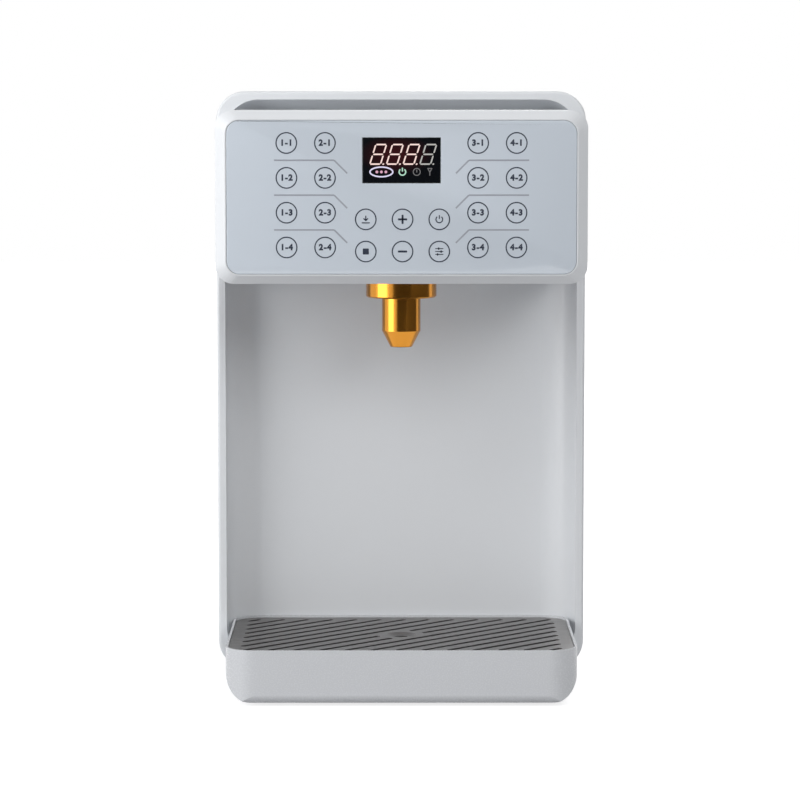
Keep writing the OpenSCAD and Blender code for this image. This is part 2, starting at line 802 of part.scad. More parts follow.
module delivery_hose() color("gainsboro")
    hose(route(delivery_corners, hose_bend_r), hose_d / 2, hose_bore / 2, 12, [1, 0, 0]);

module clamp() difference() {
    union() {
        cylinder(h = 6, d = hose_d + 2.6);
        translate([hose_d / 2, -3, 0]) cube([4, 6, 6]);
    }
    translate([0, 0, -1]) cylinder(h = 8, d = hose_d + 0.4);
}

module hose_clamps() color("silver") {
    for (x = [-1, 1]) translate([x * port_x, port_y, port_top + 2]) clamp();
    translate([-port_x, port_y, tank_z - tank_tail - 8]) clamp();
    translate([0, nozzle_y + elbow_reach + 8, elbow_z]) rotate([90, 0, 0]) clamp();
}

// ---- pump ----

// Half the angle of a tooth at radius r; its flanks are involutes of the circle base_r
function involute(r) = let (a = acos(min(1, base_r / r))) tan(a) * 180 / PI - a;
function half_tooth(r) =
    90 / gear_teeth - backlash / pitch_r * 45 / PI + involute(pitch_r) - involute(max(r, base_r));

module gear(turn) {
    polygon([for (i = [0:gear_teeth - 1]) let (c = 360 * i / gear_teeth + turn) each concat(
        [for (j = [0:4]) flank[j] * [cos(c - half_tooth(flank[j])), sin(c - half_tooth(flank[j]))]],
        [for (j = [4:-1:0]) flank[j] * [cos(c + half_tooth(flank[j])), sin(c + half_tooth(flank[j]))]]
    )]);
}

pump_bolt_at = [
    for (x = [-1, 1], z = [-1, 1]) [x * (pump_r - 5), port_z + z * (fitting_d / 2 + 4)],
    for (x = [-1, 1], z = [drive_z - pump_r + 8, driven_z + pump_r - 8]) [x * 14, z]
];

module pump_outline() {
    for (z = [drive_z, driven_z]) translate([0, z]) circle(pump_r);
    translate([-pump_r, drive_z]) square([2 * pump_r, driven_z - drive_z]);
}

module gear_pocket(r) {
    for (z = [drive_z, driven_z]) translate([0, z]) circle(r);
}

module pump_body() color("silver") difference() {
    along_y(pump_y, pump_back) pump_outline();
    along_y(pump_y - 1, pump_y + cavity_l) gear_pocket(cavity_r);
    bar_y(shaft_d + 2 * running, pump_y, pump_back + 1, 0, drive_z);
    bar_y(shaft_d + 2 * running, pump_y, pump_back - 3, 0, driven_z);
    bar_x(7, -pump_r - 1, pump_r + 1, port_y, port_z);
    for (s = [-1, 1]) translate([s * pump_r, 0, 0]) bar_x(10, min(-8 * s, s), max(-8 * s, s), port_y, port_z);
    for (p = pump_bolt_at) bar_y(3.5, pump_y - 1, pump_y + 9, p[0], p[1]);
}

module pump_cover() color("gainsboro") difference() {
    along_y(pump_y - pump_cover_t, pump_y) pump_outline();
    for (z = [drive_z, driven_z])
        bar_y(shaft_d + 2 * running, pump_y - pump_cover_t + 2, pump_y + 1, 0, z);
    for (p = pump_bolt_at) bar_y(3.5, pump_y - pump_cover_t - 1, pump_y + 1, p[0], p[1]);
}

module pump_bolts() color("dimgray") for (p = pump_bolt_at) difference() {
    union() {
        bar_y(6, pump_y - pump_cover_t - 3, pump_y - pump_cover_t, p[0], p[1]);
        bar_y(3.3, pump_y - pump_cover_t, pump_y + 8, p[0], p[1]);
    }
    translate([p[0], pump_y - pump_cover_t - 4, p[1]]) rotate([-90, 0, 0]) hexagon(2.5, 3);
}

module geared_shaft(z, turn, y1) {
    y0 = pump_y + gear_gap;
    along_y(y0, y0 + gear_w, z) gear(turn);
    bar_y(shaft_d, pump_y - pump_cover_t + 3, y1, 0, z);
}

module drive_gear() color("gold") geared_shaft(drive_z, 0, bracket_y - 12);

module driven_gear() color("gold") geared_shaft(driven_z, 180 / gear_teeth, pump_back - 4);

module shaft_coupling() color("silver") difference() {
    bar_y(20, bracket_y - 22, bracket_y - 2, 0, drive_z);
    bar_y(shaft_d + 2 * running, bracket_y - 23, bracket_y - 1, 0, drive_z);
    // slits that let the coupling flex
    for (s = [0, 1]) translate([s * 12 - 12, bracket_y - 15 + s * 5, drive_z - 11]) cube([12, 1.2, 22]);
}

module motor_shaft() color("silver") bar_y(shaft_d, bracket_y - 11.5, gearbox_y + 12, 0, drive_z);

// Elbow that screws into one side of the pump and turns up to a hose
module port_elbow() difference() {
    union() {
        bar_x(10 - 2 * fit, pump_r - 7.5, pump_r + 1, port_y, port_z);
        bar_x(fitting_d, pump_r, port_x, port_y, port_z);
        translate([port_x, port_y, port_z]) sphere(d = fitting_d);
        translate([port_x, port_y, port_z]) cylinder(h = port_top - port_z, d = fitting_d);
        translate([port_x, port_y, port_top]) cylinder(h = barb_l, d = barb_d);
    }
    bar_x(duct_d, pump_r - 9, port_x, port_y, port_z);
    translate([port_x, port_y, port_z]) cylinder(h = port_top - port_z + barb_l + 1, d = duct_d);
}

module pump_fittings() color("goldenrod") {
    port_elbow();
    mirror([1, 0, 0]) port_elbow();
}

standoff_at = [for (x = [-1, 1], z = [drive_z - 8, driven_z + 8]) [x * (pump_r - 6), z]];

module pump_standoffs() color("silver")
    for (p = standoff_at) bar_y(standoff_d, pump_back, bracket_y, p[0], p[1]);

module motor_bracket() color("silver") difference() {
    union() {
        block([-bracket_w / 2, bracket_y, base_top], [bracket_w / 2, gearbox_y, driven_z + bracket_rise]);
        block([-bracket_w / 2, bracket_y, base_top],
            [bracket_w / 2, bracket_y + bracket_foot, base_top + plate_steel]);
    }
    bar_y(shaft_d + 6, bracket_y - 1, gearbox_y + 1, 0, drive_z);
    for (p = bracket_screw_at) translate([p[0], p[1], base_top - 1])
        cylinder(h = plate_steel + 2, d = screw_d + fit);
}

module gearbox() color("silver") difference() {
    union() {
        bar_y(gearbox_d, gearbox_y, motor_y, 0, drive_z);
        bar_y(gearbox_d + 2, motor_y - 6, motor_y, 0, drive_z);
    }
    bar_y(shaft_d + 2 * running, gearbox_y - 1, gearbox_y + 15, 0, drive_z);
}

module motor() color("dimgray") {
    bar_y(motor_d, motor_y, motor_y + motor_l, 0, drive_z);
    bar_y(16, motor_y + motor_l, motor_y + motor_l + 4, 0, drive_z);
    for (s = [-1, 1]) translate([s * 14 - 3, motor_y + motor_l, drive_z - 0.4]) cube([6, 7, 0.8]);
}

// ---- electrics ----

// Closed box with slots in its top and a bay for its terminals
module power_supply() color("silver") difference() {
    supply_top = base_top + supply_h;
    block([supply_x, electrics_y, base_top], [supply_x + supply_w, electrics_y + supply_l, supply_top]);
    translate([supply_x + supply_edge, electrics_y - 1, base_top + supply_shelf])
        cube([supply_w - 2 * supply_edge, terminal_d + 1, supply_h]);
    for (i = [0:5])
        translate([supply_x + supply_w / 2, electrics_y + 2 * terminal_d + i * vent_pitch, supply_top - 1.5])
            linear_extrude(3) rrect(supply_w - 16, vent_h, vent_h / 2 - 0.1);
}

// Board on four pillars, with its relays, capacitors, transformer and plug strips
module control_board() color("darkgreen") {
    x0 = -supply_x - supply_w;
    z0 = base_top + pillar_h;
    block([x0, electrics_y, z0], [-supply_x, electrics_y + supply_l, z0 + board_t]);
    for (x = [x0 + 5, -supply_x - 5], y = [electrics_y + 5, electrics_y + supply_l - 5])
        translate([x, y, base_top]) cylinder(h = pillar_h, d = 6);
    translate([x0, electrics_y, z0 + board_t]) {
        for (i = [0:2]) translate([6, 12 + i * 20, 0]) cube([16, 14, 15]);
        for (i = [0:1]) translate([36, 16 + i * 16, 0]) cylinder(h = 18, d = 12);
        translate([28, 50, 0]) cube([20, 24, 17]);
        translate([10, supply_l - 12, 0]) cube([34, 8, 9]);
    }
}

module power_inlet() color("black") {
    translate([-inlet_x, 0, 0]) difference() {
        union() {
            along_y(panel_y, panel_y + 2, inlet_z) rrect(inlet_flange_w, inlet_flange_h, 5);
            along_y(panel_y - inlet_body_d, panel_y, inlet_z)
                square([inlet_body_w, inlet_body_h], center = true);
        }
        along_y(panel_y - inlet_body_d + 4, panel_y + 3, inlet_z)
            polygon([[-12, -8], [12, -8], [12, 4], [8, 8], [-8, 8], [-12, 4]]);
    }
    for (p = [[-7, -2], [0, 3], [7, -2]]) translate([-inlet_x + p[0], 0, 0])
        block([-1, panel_y - inlet_body_d + 3, inlet_z + p[1] - 2], [1, panel_y - 4, inlet_z + p[1] + 2]);
}

module switch_housing() color("black") translate([inlet_x, 0, 0]) difference() {
    union() {
        along_y(panel_y, panel_y + 2, inlet_z) rrect(switch_w + 4, switch_h + 5, 2);
        along_y(panel_y - 15, panel_y, inlet_z) square([switch_w, switch_h], center = true);
    }
    along_y(panel_y - 12, panel_y + 3, inlet_z)
        square([rocker_w + 2 * slip, 2 * rocker_r - 0.3], center = true);
    bar_x(2.5, -switch_w / 2 + 0.6, switch_w / 2 - 0.6, rocker_y, inlet_z);
}

// The rocker's side view about its axis: y is outwards and z is up
module switch_rocker() color("crimson") translate([inlet_x, rocker_y, inlet_z]) rotate([-rocker_tilt, 0, 0]) {
    along_x(-rocker_w / 2, rocker_w / 2) polygon([[-3, -5], [4, -7.5], [3.2, 0], [4, 7.5], [-3, 5]]);
    bar_x(2.4, -switch_w / 2 + 0.9, switch_w / 2 - 0.9);
}

// ---- lid ----

module lid_seat() color("whitesmoke") difference() {
    y0 = lid_y - scoop_d / 2 - 3;
    y1 = hinge_y + knuckle_r + 9;
    translate([0, (y0 + y1) / 2, seat_z]) linear_extrude(seat_t)
        rrect(lid_w + 2 * seat_out, y1 - y0, lid_r);
    // mouth that the tank is filled through
    translate([0, (lid_y + hinge_y) / 2, seat_z - 1]) linear_extrude(seat_t + 2)
        rrect(mouth_w, mouth_l, lid_r);
    translate([0, 0, body_h - lid_t - fit]) linear_extrude(seat_t) lid_outline(lid_gap);
    block([-lid_w / 2 - 0.5, hinge_y - knuckle_r - 1.5, seat_z - 1],
        [lid_w / 2 + 0.5, hinge_y + knuckle_r + lid_gap, body_h]);
    translate([0, lid_y, seat_z + 2]) cylinder(h = seat_t, d = scoop_d);
    bar_x(pin_d, -lid_w / 2 - seat_out - 1, lid_w / 2 + seat_out + 1, hinge_y, hinge_z);
}

// The lid's skirt, drawn inwards by i
module skirt_outline(i)
    rrect(mouth_w - 2 * (skirt_gap + i), mouth_l - 2 * (skirt_swing + i), lid_r - skirt_gap - i);

module top_lid() color("white") difference() {
    union() {
        intersection() {
            translate([0, lid_y + lid_d, body_h - lid_t]) slab(lid_w, 2 * lid_d, lid_r, lid_t, lid_edge_r);
            block([-lid_w, lid_y - 1, 0], [lid_w, hinge_y, body_h + 1]);
        }
        bar_x(2 * knuckle_r, -lid_w / 2, lid_w / 2, hinge_y, hinge_z);
        translate([0, (lid_y + hinge_y) / 2, body_h - lid_t - skirt_h])
            linear_extrude(skirt_h + 0.5) difference() {
                skirt_outline(0);
                skirt_outline(skirt_t);
            }
    }
    bar_x(pin_d + 2 * running, -lid_w, lid_w, hinge_y, hinge_z);
}

module hinge_pin() color("silver")
    bar_x(pin_d, -lid_w / 2 - seat_out, lid_w / 2 + seat_out, hinge_y, hinge_z);

// ---- head ----

module head_outline(i) rrect(head_w - 2 * i, head_h - 2 * i, head_r - i);

module head_housing() color("white") difference() {
    intersection() {
        along_y(bezel_y, dish_y, head_mid) head_outline(0);
        union() {
            block([-body_w, bezel_y - 1, 0], [body_w, frame_y - fit, body_h]);
            dish(slip, 2);
        }
    }
    intersection() {
        along_y(bezel_y - 1, dish_y - slip - head_t, head_mid) head_outline(head_t);
        union() {
            block([-body_w, bezel_y - 2, 0], [body_w, frame_y - 2, body_h]);
            dish(slip + head_t, 3);
        }
    }
    neck(frame_y, dish_y + 1);
    for (p = head_screw_at) bar_y(screw_d + fit, dish_y - 8, dish_y + 1, p[0], p[1]);
    translate([0, nozzle_y, head_z - 1]) cylinder(h = head_t + 2, d = shank_d + 2 * fit);
}

module head_bezel() color("white") difference() {
    union() {
        hull() {
            along_y(front_y, front_y + 0.2, head_mid)
                rrect(plate_w + 2 * bezel_lip, plate_h + 2 * bezel_lip, plate_r + bezel_lip, $fn = hull_fn);
            along_y(front_y + bezel_slope - 0.2, front_y + bezel_slope, head_mid)
                rrect(head_w, head_h, head_r, $fn = hull_fn);
        }
        along_y(front_y + bezel_slope - 0.1, bezel_y, head_mid) head_outline(0);
        along_y(bezel_y - 0.1, bezel_y + 5, head_mid) head_outline(head_t + fit);
    }
    along_y(front_y - 1, plate_back, head_mid) rrect(plate_w + 2 * fit, plate_h + 2 * fit, plate_r + fit);
    along_y(front_y, bezel_y + 6, head_mid)
        rrect(plate_w - 2 * ledge_w, plate_h - 2 * ledge_w, plate_r - ledge_w);
    along_y(front_y + bezel_slope, bezel_y + 6, head_mid) head_outline(head_t + 2);
}

module key_plate() color("aliceblue") difference() {
    along_y(front_y, plate_back, head_mid) rrect(plate_w, plate_h, plate_r);
    along_y(front_y - 1, front_y + lens_t, lens_z)
        square([lens_w + 2 * fit, lens_h + 2 * fit], center = true);
    along_y(front_y, plate_back + 1, lens_z)
        square([lens_w - 2 * lens_rebate, lens_h - 2 * lens_rebate], center = true);
}

module display_lens() color("black") along_y(front_y, front_y + lens_t, lens_z)
    square([lens_w, lens_h], center = true);

module sensor_board() color("darkgreen") difference() {
    along_y(plate_back, plate_back + board_t, head_mid)
        rrect(plate_w - 2 * ledge_w - 2, plate_h - 2 * ledge_w - 2, 4);
    along_y(plate_back - 1, plate_back + board_t + 1, lens_z)
        square([lens_w - 2 * lens_rebate, lens_h - 2 * lens_rebate], center = true);
}

module display_module() color("black") {
    along_y(front_y + lens_t + fit, front_y + lens_t + display_d, lens_z)
        square([lens_w - 2 * lens_rebate - 2 * fit, lens_h - 2 * lens_rebate - 2 * fit], center = true);
    along_y(plate_back + board_t, plate_back + board_t + 2, lens_z)
        square([lens_w + 4, lens_h + 2], center = true);
}

module head_screws() color("silver")
    for (p = head_screw_at) translate([p[0], fascia_y, p[1]]) rotate([-90, 0, 0]) screw(fascia_t + slip + 4);

// ---- nozzle ----

// Turned part on the nozzle's axis: points are radius and height above the head's underside
module turned(points) translate([0, nozzle_y, head_z]) rotate_extrude() polygon(points);

module nozzle_collar() color("goldenrod") turned([
    [spigot_d / 2 + slip, -collar_h], [collar_d / 2 - 1, -collar_h], [collar_d / 2, 1 - collar_h],
    [collar_d / 2, -0.6], [collar_d / 2 - 0.6, 0], [shank_d / 2, 0], [shank_d / 2, shank_h + head_t],
    [6, shank_h + head_t], [6, spigot_h + 1 - collar_h], [spigot_d / 2 + slip, spigot_h + 1 - collar_h]
]);

module collar_nut() color("goldenrod") translate([0, nozzle_y, head_z + head_t])
    hexagon(shank_d + 10, 8, shank_d + 2 * fit);

module outlet_elbow() color("goldenrod") {
    z0 = head_z + head_t + shank_h;
    difference() {
        union() {
            translate([0, nozzle_y, z0]) cylinder(h = elbow_z - z0 + 8, d = 20);
            bar_y(fitting_d, nozzle_y, nozzle_y + elbow_reach, 0, elbow_z);
            bar_y(barb_d, nozzle_y + elbow_reach - 1, nozzle_y + elbow_reach + barb_l, 0, elbow_z);
        }
        bar_y(duct_d, nozzle_y, nozzle_y + elbow_reach + barb_l + 1, 0, elbow_z);
        translate([0, nozzle_y, z0 - 1]) cylinder(h = elbow_z - z0 + 1, d = 10);
    }
}

module nozzle() color("goldenrod") {
    top = nozzle_top - head_z;
    step = top - nozzle_straight;
    turned([
        [outlet_d / 2, step - nozzle_taper], [nozzle_tip_d / 2 - 0.4, step - nozzle_taper],
        [nozzle_tip_d / 2, step - nozzle_taper + 0.4], [nozzle_d / 2, step], [nozzle_d / 2, top - 0.1],
        [spigot_d / 2, top - 0.1], [spigot_d / 2, top + spigot_h], [chamber_d / 2, top + spigot_h],
        [chamber_d / 2, shoulder_z - head_z], [outlet_d / 2, shoulder_z - head_z]
    ]);
}

module nozzle_seal() color("dimgray") {
    r = (spigot_d + chamber_d) / 4;
    translate([0, nozzle_y, nozzle_top + spigot_h]) rotate_extrude()
        translate([r, 0.4]) square([1.2, 0.8], center = true);
}

module valve_seat() color("ivory") translate([0, nozzle_y, valve_z]) difference() {
    cylinder(h = valve_seat_t, d = chamber_d);
    translate([0, 0, -1]) cylinder(h = valve_seat_t + 2, d = 8);
}

module valve_poppet() color("ivory") translate([0, nozzle_y, valve_z - valve_gap]) rotate([180, 0, 0]) {
    cylinder(h = poppet_t, d = poppet_d);
    cylinder(h = poppet_t + poppet_stem, d = 4);
}

spring_points = [for (i = [0:spring_turns * spring_steps]) let (t = i / spring_steps)
    [spring_r * cos(360 * t), nozzle_y + spring_r * sin(360 * t),
        spring_z0 + (spring_z1 - spring_z0) * t / spring_turns]];

module valve_spring() color("silver") wire(spring_points, wire_d / 2, 6, [1, 0, 0]);

// ---- drip tray ----

// The tray's outside, drawn inwards by i
module tray_form(i) intersection() {
    translate([0, tray_mid, tray_foot + i]) linear_extrude(tray_h)
        rrect(tray_w - 2 * i, tray_len - 2 * i, tray_r - i);
    // seen from the front: round lower corners
    translate([0, tray_y1, tray_foot + i + 2 * tray_h]) rotate([90, 0, 0]) linear_extrude(tray_len)
        rrect2(tray_w - 2 * i, 4 * tray_h, tray_r - i, 1);
    // seen from the side: round lower front edge
    along_x(-body_w, body_w) translate([front_y + i + tray_len, tray_foot + i + tray_len])
        rrect2(2 * tray_len, 2 * tray_len, tray_edge_r - min(i, 3), 1);
    union() {
        block([-body_w, front_y, 0], [body_w, frame_y - 0.5 - i, tray_h]);
        dish(0.5 + i, 20);
    }
}

module drip_tray() color("white") difference() {
    intersection() {
        tray_form(0);
        block([-body_w, front_y - 1, 0], [body_w, dish_y, tray_h]);
    }
    intersection() {
        tray_form(tray_t);
        block([-body_w, front_y, grid_z - 0.05], [body_w, dish_y, tray_h + 9]);
    }
    translate([0, tray_mid, tray_h - 1]) linear_extrude(2)
        rrect(tray_w - 2 * tray_t, tray_len - 2 * tray_t, tray_r - tray_t);
    tray_form(tray_t + grid_ledge - 1);
}

module tray_pads() color("dimgray")
    for (x = [-1, 1], y = [front_y + pad_front, frame_y - pad_back])
        translate([x * (tray_w / 2 - pad_side), y, 0]) cylinder(h = tray_foot, d = pad_d);

// One slot at 45 degrees through [c, 0], clipped to the slotted field and kept off the dimple
module slot(c) {
    bx = grid_w / 2 - slot_margin;
    by = grid_len / 2 - slot_margin;
    u0 = max(-by, -bx - c);
    u1 = min(by, bx - c);
    // the line is [c + u, u]; it passes the centre at u = -c/2
    reach = slot_clear_d / 2;
    off = abs(c) / sqrt(2);
    half = off < reach ? sqrt(reach * reach - off * off) / sqrt(2) : 0;
    spans = half > 0 ? [[u0, -c / 2 - half], [-c / 2 + half, u1]] : [[u0, u1]];
    for (s = spans) if (s[1] - s[0] > slot_w) {
        l = (s[1] - s[0]) * sqrt(2);
        translate([c + (s[0] + s[1]) / 2, (s[0] + s[1]) / 2]) rotate(45) {
            square([l - slot_w, slot_w], center = true);
            for (e = [-1, 1]) translate([e * (l - slot_w) / 2, 0]) circle(d = slot_w);
        }
    }
}

module drip_grid() color("gray") translate([0, tray_mid, grid_z]) difference() {
    hole_r = dimple_hole_d / 2;
    union() {
        linear_extrude(grid_t) rrect(grid_w, grid_len, grid_r);
        // the dimple that centres a cup
        rotate_extrude() polygon([
            [hole_r, -dimple_h], [hole_r + dimple_lip, -dimple_h], [dimple_d / 2, -0.01],
            [dimple_d / 2, 0.2], [hole_r, 0.2]
        ]);
    }
    for (i = [-10:10]) translate([0, 0, -1]) linear_extrude(grid_t + 2) slot((i + 0.5) * slot_pitch);
    rotate_extrude() polygon([
        [0, -dimple_h - 1], [hole_r, -dimple_h - 1], [hole_r, 1 - dimple_h], [hole_r + 1.5, 1 - dimple_h],
        [dimple_d / 2 - 1.2, grid_t], [dimple_d / 2 - 1.2, grid_t + 1], [0, grid_t + 1]
    ]);
}

casing();
front_moulding();
rear_cover();
cover_screws();
base_plate();
feet();
tank_stand();
stand_screws();
syrup_tank();
tank_gasket();
heater_pad();
thermostat();
tank_outlet();
suction_hose();
delivery_hose();
hose_clamps();
pump_body();
pump_cover();
pump_bolts();
drive_gear();
driven_gear();
shaft_coupling();
motor_shaft();
pump_fittings();
pump_standoffs();
motor_bracket();
gearbox();
motor();
power_supply();
control_board();
power_inlet();
switch_housing();
switch_rocker();
lid_seat();
top_lid();
hinge_pin();
head_housing();
head_bezel();
key_plate();
sensor_board();
display_lens();
display_module();
head_screws();
outlet_elbow();
collar_nut();
nozzle_collar();
nozzle();
nozzle_seal();
valve_seat();
valve_poppet();
valve_spring();
drip_tray();
tray_pads();
drip_grid();
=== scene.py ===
# %% [markdown]
# # A countertop fructose dispenser
#
# The dispenser is a white casing with a dished front. A head with touch keys stands out
# over the recess and carries a gold nozzle, and a drip tray with a slotted steel grid
# lies below. The solids come from the CAD model. This lesson adds what a drawing
# doesn't hold: the finishes, the printing on the key plate, the lit display, and the
# light that makes white plastic read as white plastic.
#
# The first cell loads the CAD model as a fixed frame. Each of its nodes already stands
# at its real place, in metres, so new pieces can be placed by measuring the nodes.

# %% Load the CAD model
import math

import bpy
from mathutils import Matrix, Vector


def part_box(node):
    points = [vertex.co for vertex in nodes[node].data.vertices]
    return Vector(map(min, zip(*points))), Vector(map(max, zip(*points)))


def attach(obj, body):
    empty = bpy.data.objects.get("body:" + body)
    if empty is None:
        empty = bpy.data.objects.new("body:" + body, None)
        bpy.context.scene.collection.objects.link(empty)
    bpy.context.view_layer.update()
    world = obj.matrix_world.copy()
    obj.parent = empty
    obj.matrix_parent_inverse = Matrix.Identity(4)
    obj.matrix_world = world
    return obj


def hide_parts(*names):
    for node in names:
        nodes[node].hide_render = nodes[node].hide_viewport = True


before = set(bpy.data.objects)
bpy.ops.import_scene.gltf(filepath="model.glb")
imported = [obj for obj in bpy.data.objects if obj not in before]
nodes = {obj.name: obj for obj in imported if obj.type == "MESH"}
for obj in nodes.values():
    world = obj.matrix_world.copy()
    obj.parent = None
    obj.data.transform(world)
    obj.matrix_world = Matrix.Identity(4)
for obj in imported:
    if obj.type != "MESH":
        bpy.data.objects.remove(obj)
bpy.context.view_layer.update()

MM = 0.001

# %% [markdown]
# ## The camera
#
# The picture is taken from just above the head's height and from 2.3 metres away. The
# head stands nearer than the recess behind it, so it comes out a few per cent larger,
# and that ratio is what gives the distance. A long lens then fills the frame. A short
# lens from close by would fill it too, but it would swell the head.

# %% Camera
CAMERA_AT = Vector((-0.006, -2.386, 0.421))
CAMERA_AIM = Vector((-0.0008, -0.0961, 0.2054))
LENS_MM = 141.66
SENSOR_MM = 36
NEAREST = 0.05
FURTHEST = 50

bpy.ops.object.camera_add(location=CAMERA_AT)
camera = bpy.context.object
camera.name = "camera"
camera.data.lens = LENS_MM
camera.data.sensor_width = SENSOR_MM
camera.data.clip_start = NEAREST
camera.data.clip_end = FURTHEST
camera.rotation_euler = (CAMERA_AIM - CAMERA_AT).to_track_quat("-Z", "Y").to_euler()
bpy.context.scene.camera = camera
print("camera distance:", round((CAMERA_AIM - CAMERA_AT).length, 3))

# %% [markdown]
# ## Finishes
#
# A real finish is never one flat colour. Powder coat has a fine orange peel, moulded
# plastic a faint mottle, brushed steel has scratches along one direction, and turned
# brass has rings round its axis. All of these can be one noise pattern that is
# stretched differently: equal in every direction for a grain, long in one direction
# for brushing, and changing only along the axis for turning. So one function makes
# them all. It reads Object coordinates, because the pieces sit at the origin and the
# pattern then stays where the metal is.

# %% Noise, and a range to spread it over
NOISE_LOW = 0.3
NOISE_HIGH = 0.7


def noise(tree, scale, detail):
    """Noise whose grain has its own fineness along each axis, in cells per metre."""
    place = tree.nodes.new("ShaderNodeTexCoord")
    stretch = tree.nodes.new("ShaderNodeMapping")
    stretch.inputs["Scale"].default_value = scale
    pattern = tree.nodes.new("ShaderNodeTexNoise")
    pattern.inputs["Scale"].default_value = 1.0
    pattern.inputs["Detail"].default_value = detail
    tree.links.new(place.outputs["Object"], stretch.inputs["Vector"])
    tree.links.new(stretch.outputs["Vector"], pattern.inputs["Vector"])
    return pattern.outputs["Fac"]


def spread(tree, value, low, high, start=NOISE_LOW, stop=NOISE_HIGH):
    """Maps a value that lies between start and stop to the range from low to high."""
    ramp = tree.nodes.new("ShaderNodeMapRange")
    ramp.inputs["From Min"].default_value = start
    ramp.inputs["From Max"].default_value = stop
    ramp.inputs["To Min"].default_value = low
    ramp.inputs["To Max"].default_value = high
    tree.links.new(value, ramp.inputs["Value"])
    return ramp.outputs["Result"]


print("noise mostly lies between", NOISE_LOW, "and", NOISE_HIGH)

# %% [markdown]
# ### From two noises to a finish
#
# A surface changes at two scales. Broad clouds shift its colour a little, as resin and
# metal do over a hand's width, and a fine grain scatters the gloss and lifts a relief.
# A picture could be wrapped round the piece instead, but it would need unwrapping and
# would blur up close, while noise stays sharp at any distance.

# %% A finish
BROAD_DETAIL = 3
FINE_DETAIL = 4
RELIEF_DEPTH = 0.1 * MM


def finish(
        name, colour, roughness, grain, bump,
        cloud=9, mottle=0.03, rough_spread=0.05, **fixed):
    """A material whose grain is its fine pattern and whose cloud is its broad one.

    The mottle is how far the colour changes, and rough_spread how far the gloss does.
    """
    material = bpy.data.materials.new(name)
    material.use_nodes = True
    tree = material.node_tree
    shader = tree.nodes["Principled BSDF"]
    for socket, value in fixed.items():
        shader.inputs[socket.replace("_", " ")].default_value = value

    broad = noise(tree, (cloud, cloud, cloud), BROAD_DETAIL)
    fine = noise(tree, grain, FINE_DETAIL)
    mix = tree.nodes.new("ShaderNodeMix")
    mix.data_type = "RGBA"
    mix.inputs["A"].default_value = (*[c * (1 - mottle) for c in colour], 1)
    mix.inputs["B"].default_value = (*[min(1, c * (1 + mottle)) for c in colour], 1)
    tree.links.new(spread(tree, broad, 0, 1), mix.inputs["Factor"])
    tree.links.new(mix.outputs["Result"], shader.inputs["Base Color"])
    rough = spread(tree, fine, roughness - rough_spread, roughness + rough_spread)
    tree.links.new(rough, shader.inputs["Roughness"])

    relief = tree.nodes.new("ShaderNodeBump")
    relief.inputs["Strength"].default_value = bump
    relief.inputs["Distance"].default_value = RELIEF_DEPTH
    tree.links.new(fine, relief.inputs["Height"])
    tree.links.new(relief.outputs["Normal"], shader.inputs["Normal"])
    return material


def wear(pieces, material):
    """Takes off what the pieces wear and puts the material on."""
    for piece in pieces:
        piece.data.materials.clear()
        piece.data.materials.append(material)


print("the relief is at most", round(RELIEF_DEPTH / MM, 3), "mm deep")

# %% [markdown]
# ### The outside
#
# The casing is powder-coated sheet, with a peel of about a millimetre. The front
# moulding, the head and the tray are a smoother injection-moulded plastic. The key
# plate is glossier still and a little blue. The nozzle is polished and lacquered, so
# only very fine turning rings show in it, while the grid is dull brushed stainless.

# %% Finishes of the outside
PEEL = (1500, 1500, 1500)
MOULD = (1100, 1100, 1100)
FINE = (1900, 1900, 1900)
BRUSHED_X = (14, 1900, 1900)
TURNED_Z = (0, 0, 5200)
TURNED_Y = (0, 3600, 0)

WHITE = (0.745, 0.765, 0.79)
painted_white = finish(
    "painted_white", WHITE, 0.38, PEEL, 0.05,
    cloud=5, mottle=0.006, rough_spread=0.03)
moulded_white = finish(
    "moulded_white", WHITE, 0.34, MOULD, 0.01,
    cloud=5, mottle=0.006, rough_spread=0.02)
panel_gloss = finish(
    "panel_gloss", (0.60, 0.655, 0.72), 0.10, MOULD, 0.01,
    mottle=0.01, rough_spread=0.02, Coat_Weight=0.6, Coat_Roughness=0.03)
lens_black = finish(
    "lens_black", (0.004, 0.005, 0.007), 0.06, MOULD, 0.01,
    mottle=0.2, rough_spread=0.02)
tray_white = finish(
    "tray_white", (0.63, 0.645, 0.67), 0.27, MOULD, 0.01,
    cloud=5, mottle=0.006, rough_spread=0.02)
gold_polish = finish(
    "gold_polish", (0.64, 0.27, 0.038), 0.2, TURNED_Z, 0.08,
    mottle=0.04, rough_spread=0.03, Metallic=1.0)
grid_steel = finish(
    "grid_steel", (0.22, 0.21, 0.205), 0.36, BRUSHED_X, 0.30,
    mottle=0.10, rough_spread=0.10, Metallic=1.0)
print("outside finishes made")

# %% [markdown]
# ### The inside and the back
#
# Under the lid stands a stainless tank, and behind the front lie a gear pump, hoses, a
# motor and two boards. They could all stay plain grey, but an open lid shows some of
# them, and each finish costs only a line. The metals differ by their grain: turned
# pieces change along one axis, and zinc plate is mottled. Rubber and black plastic
# are never fully black, because a fully black surface shows no shape.

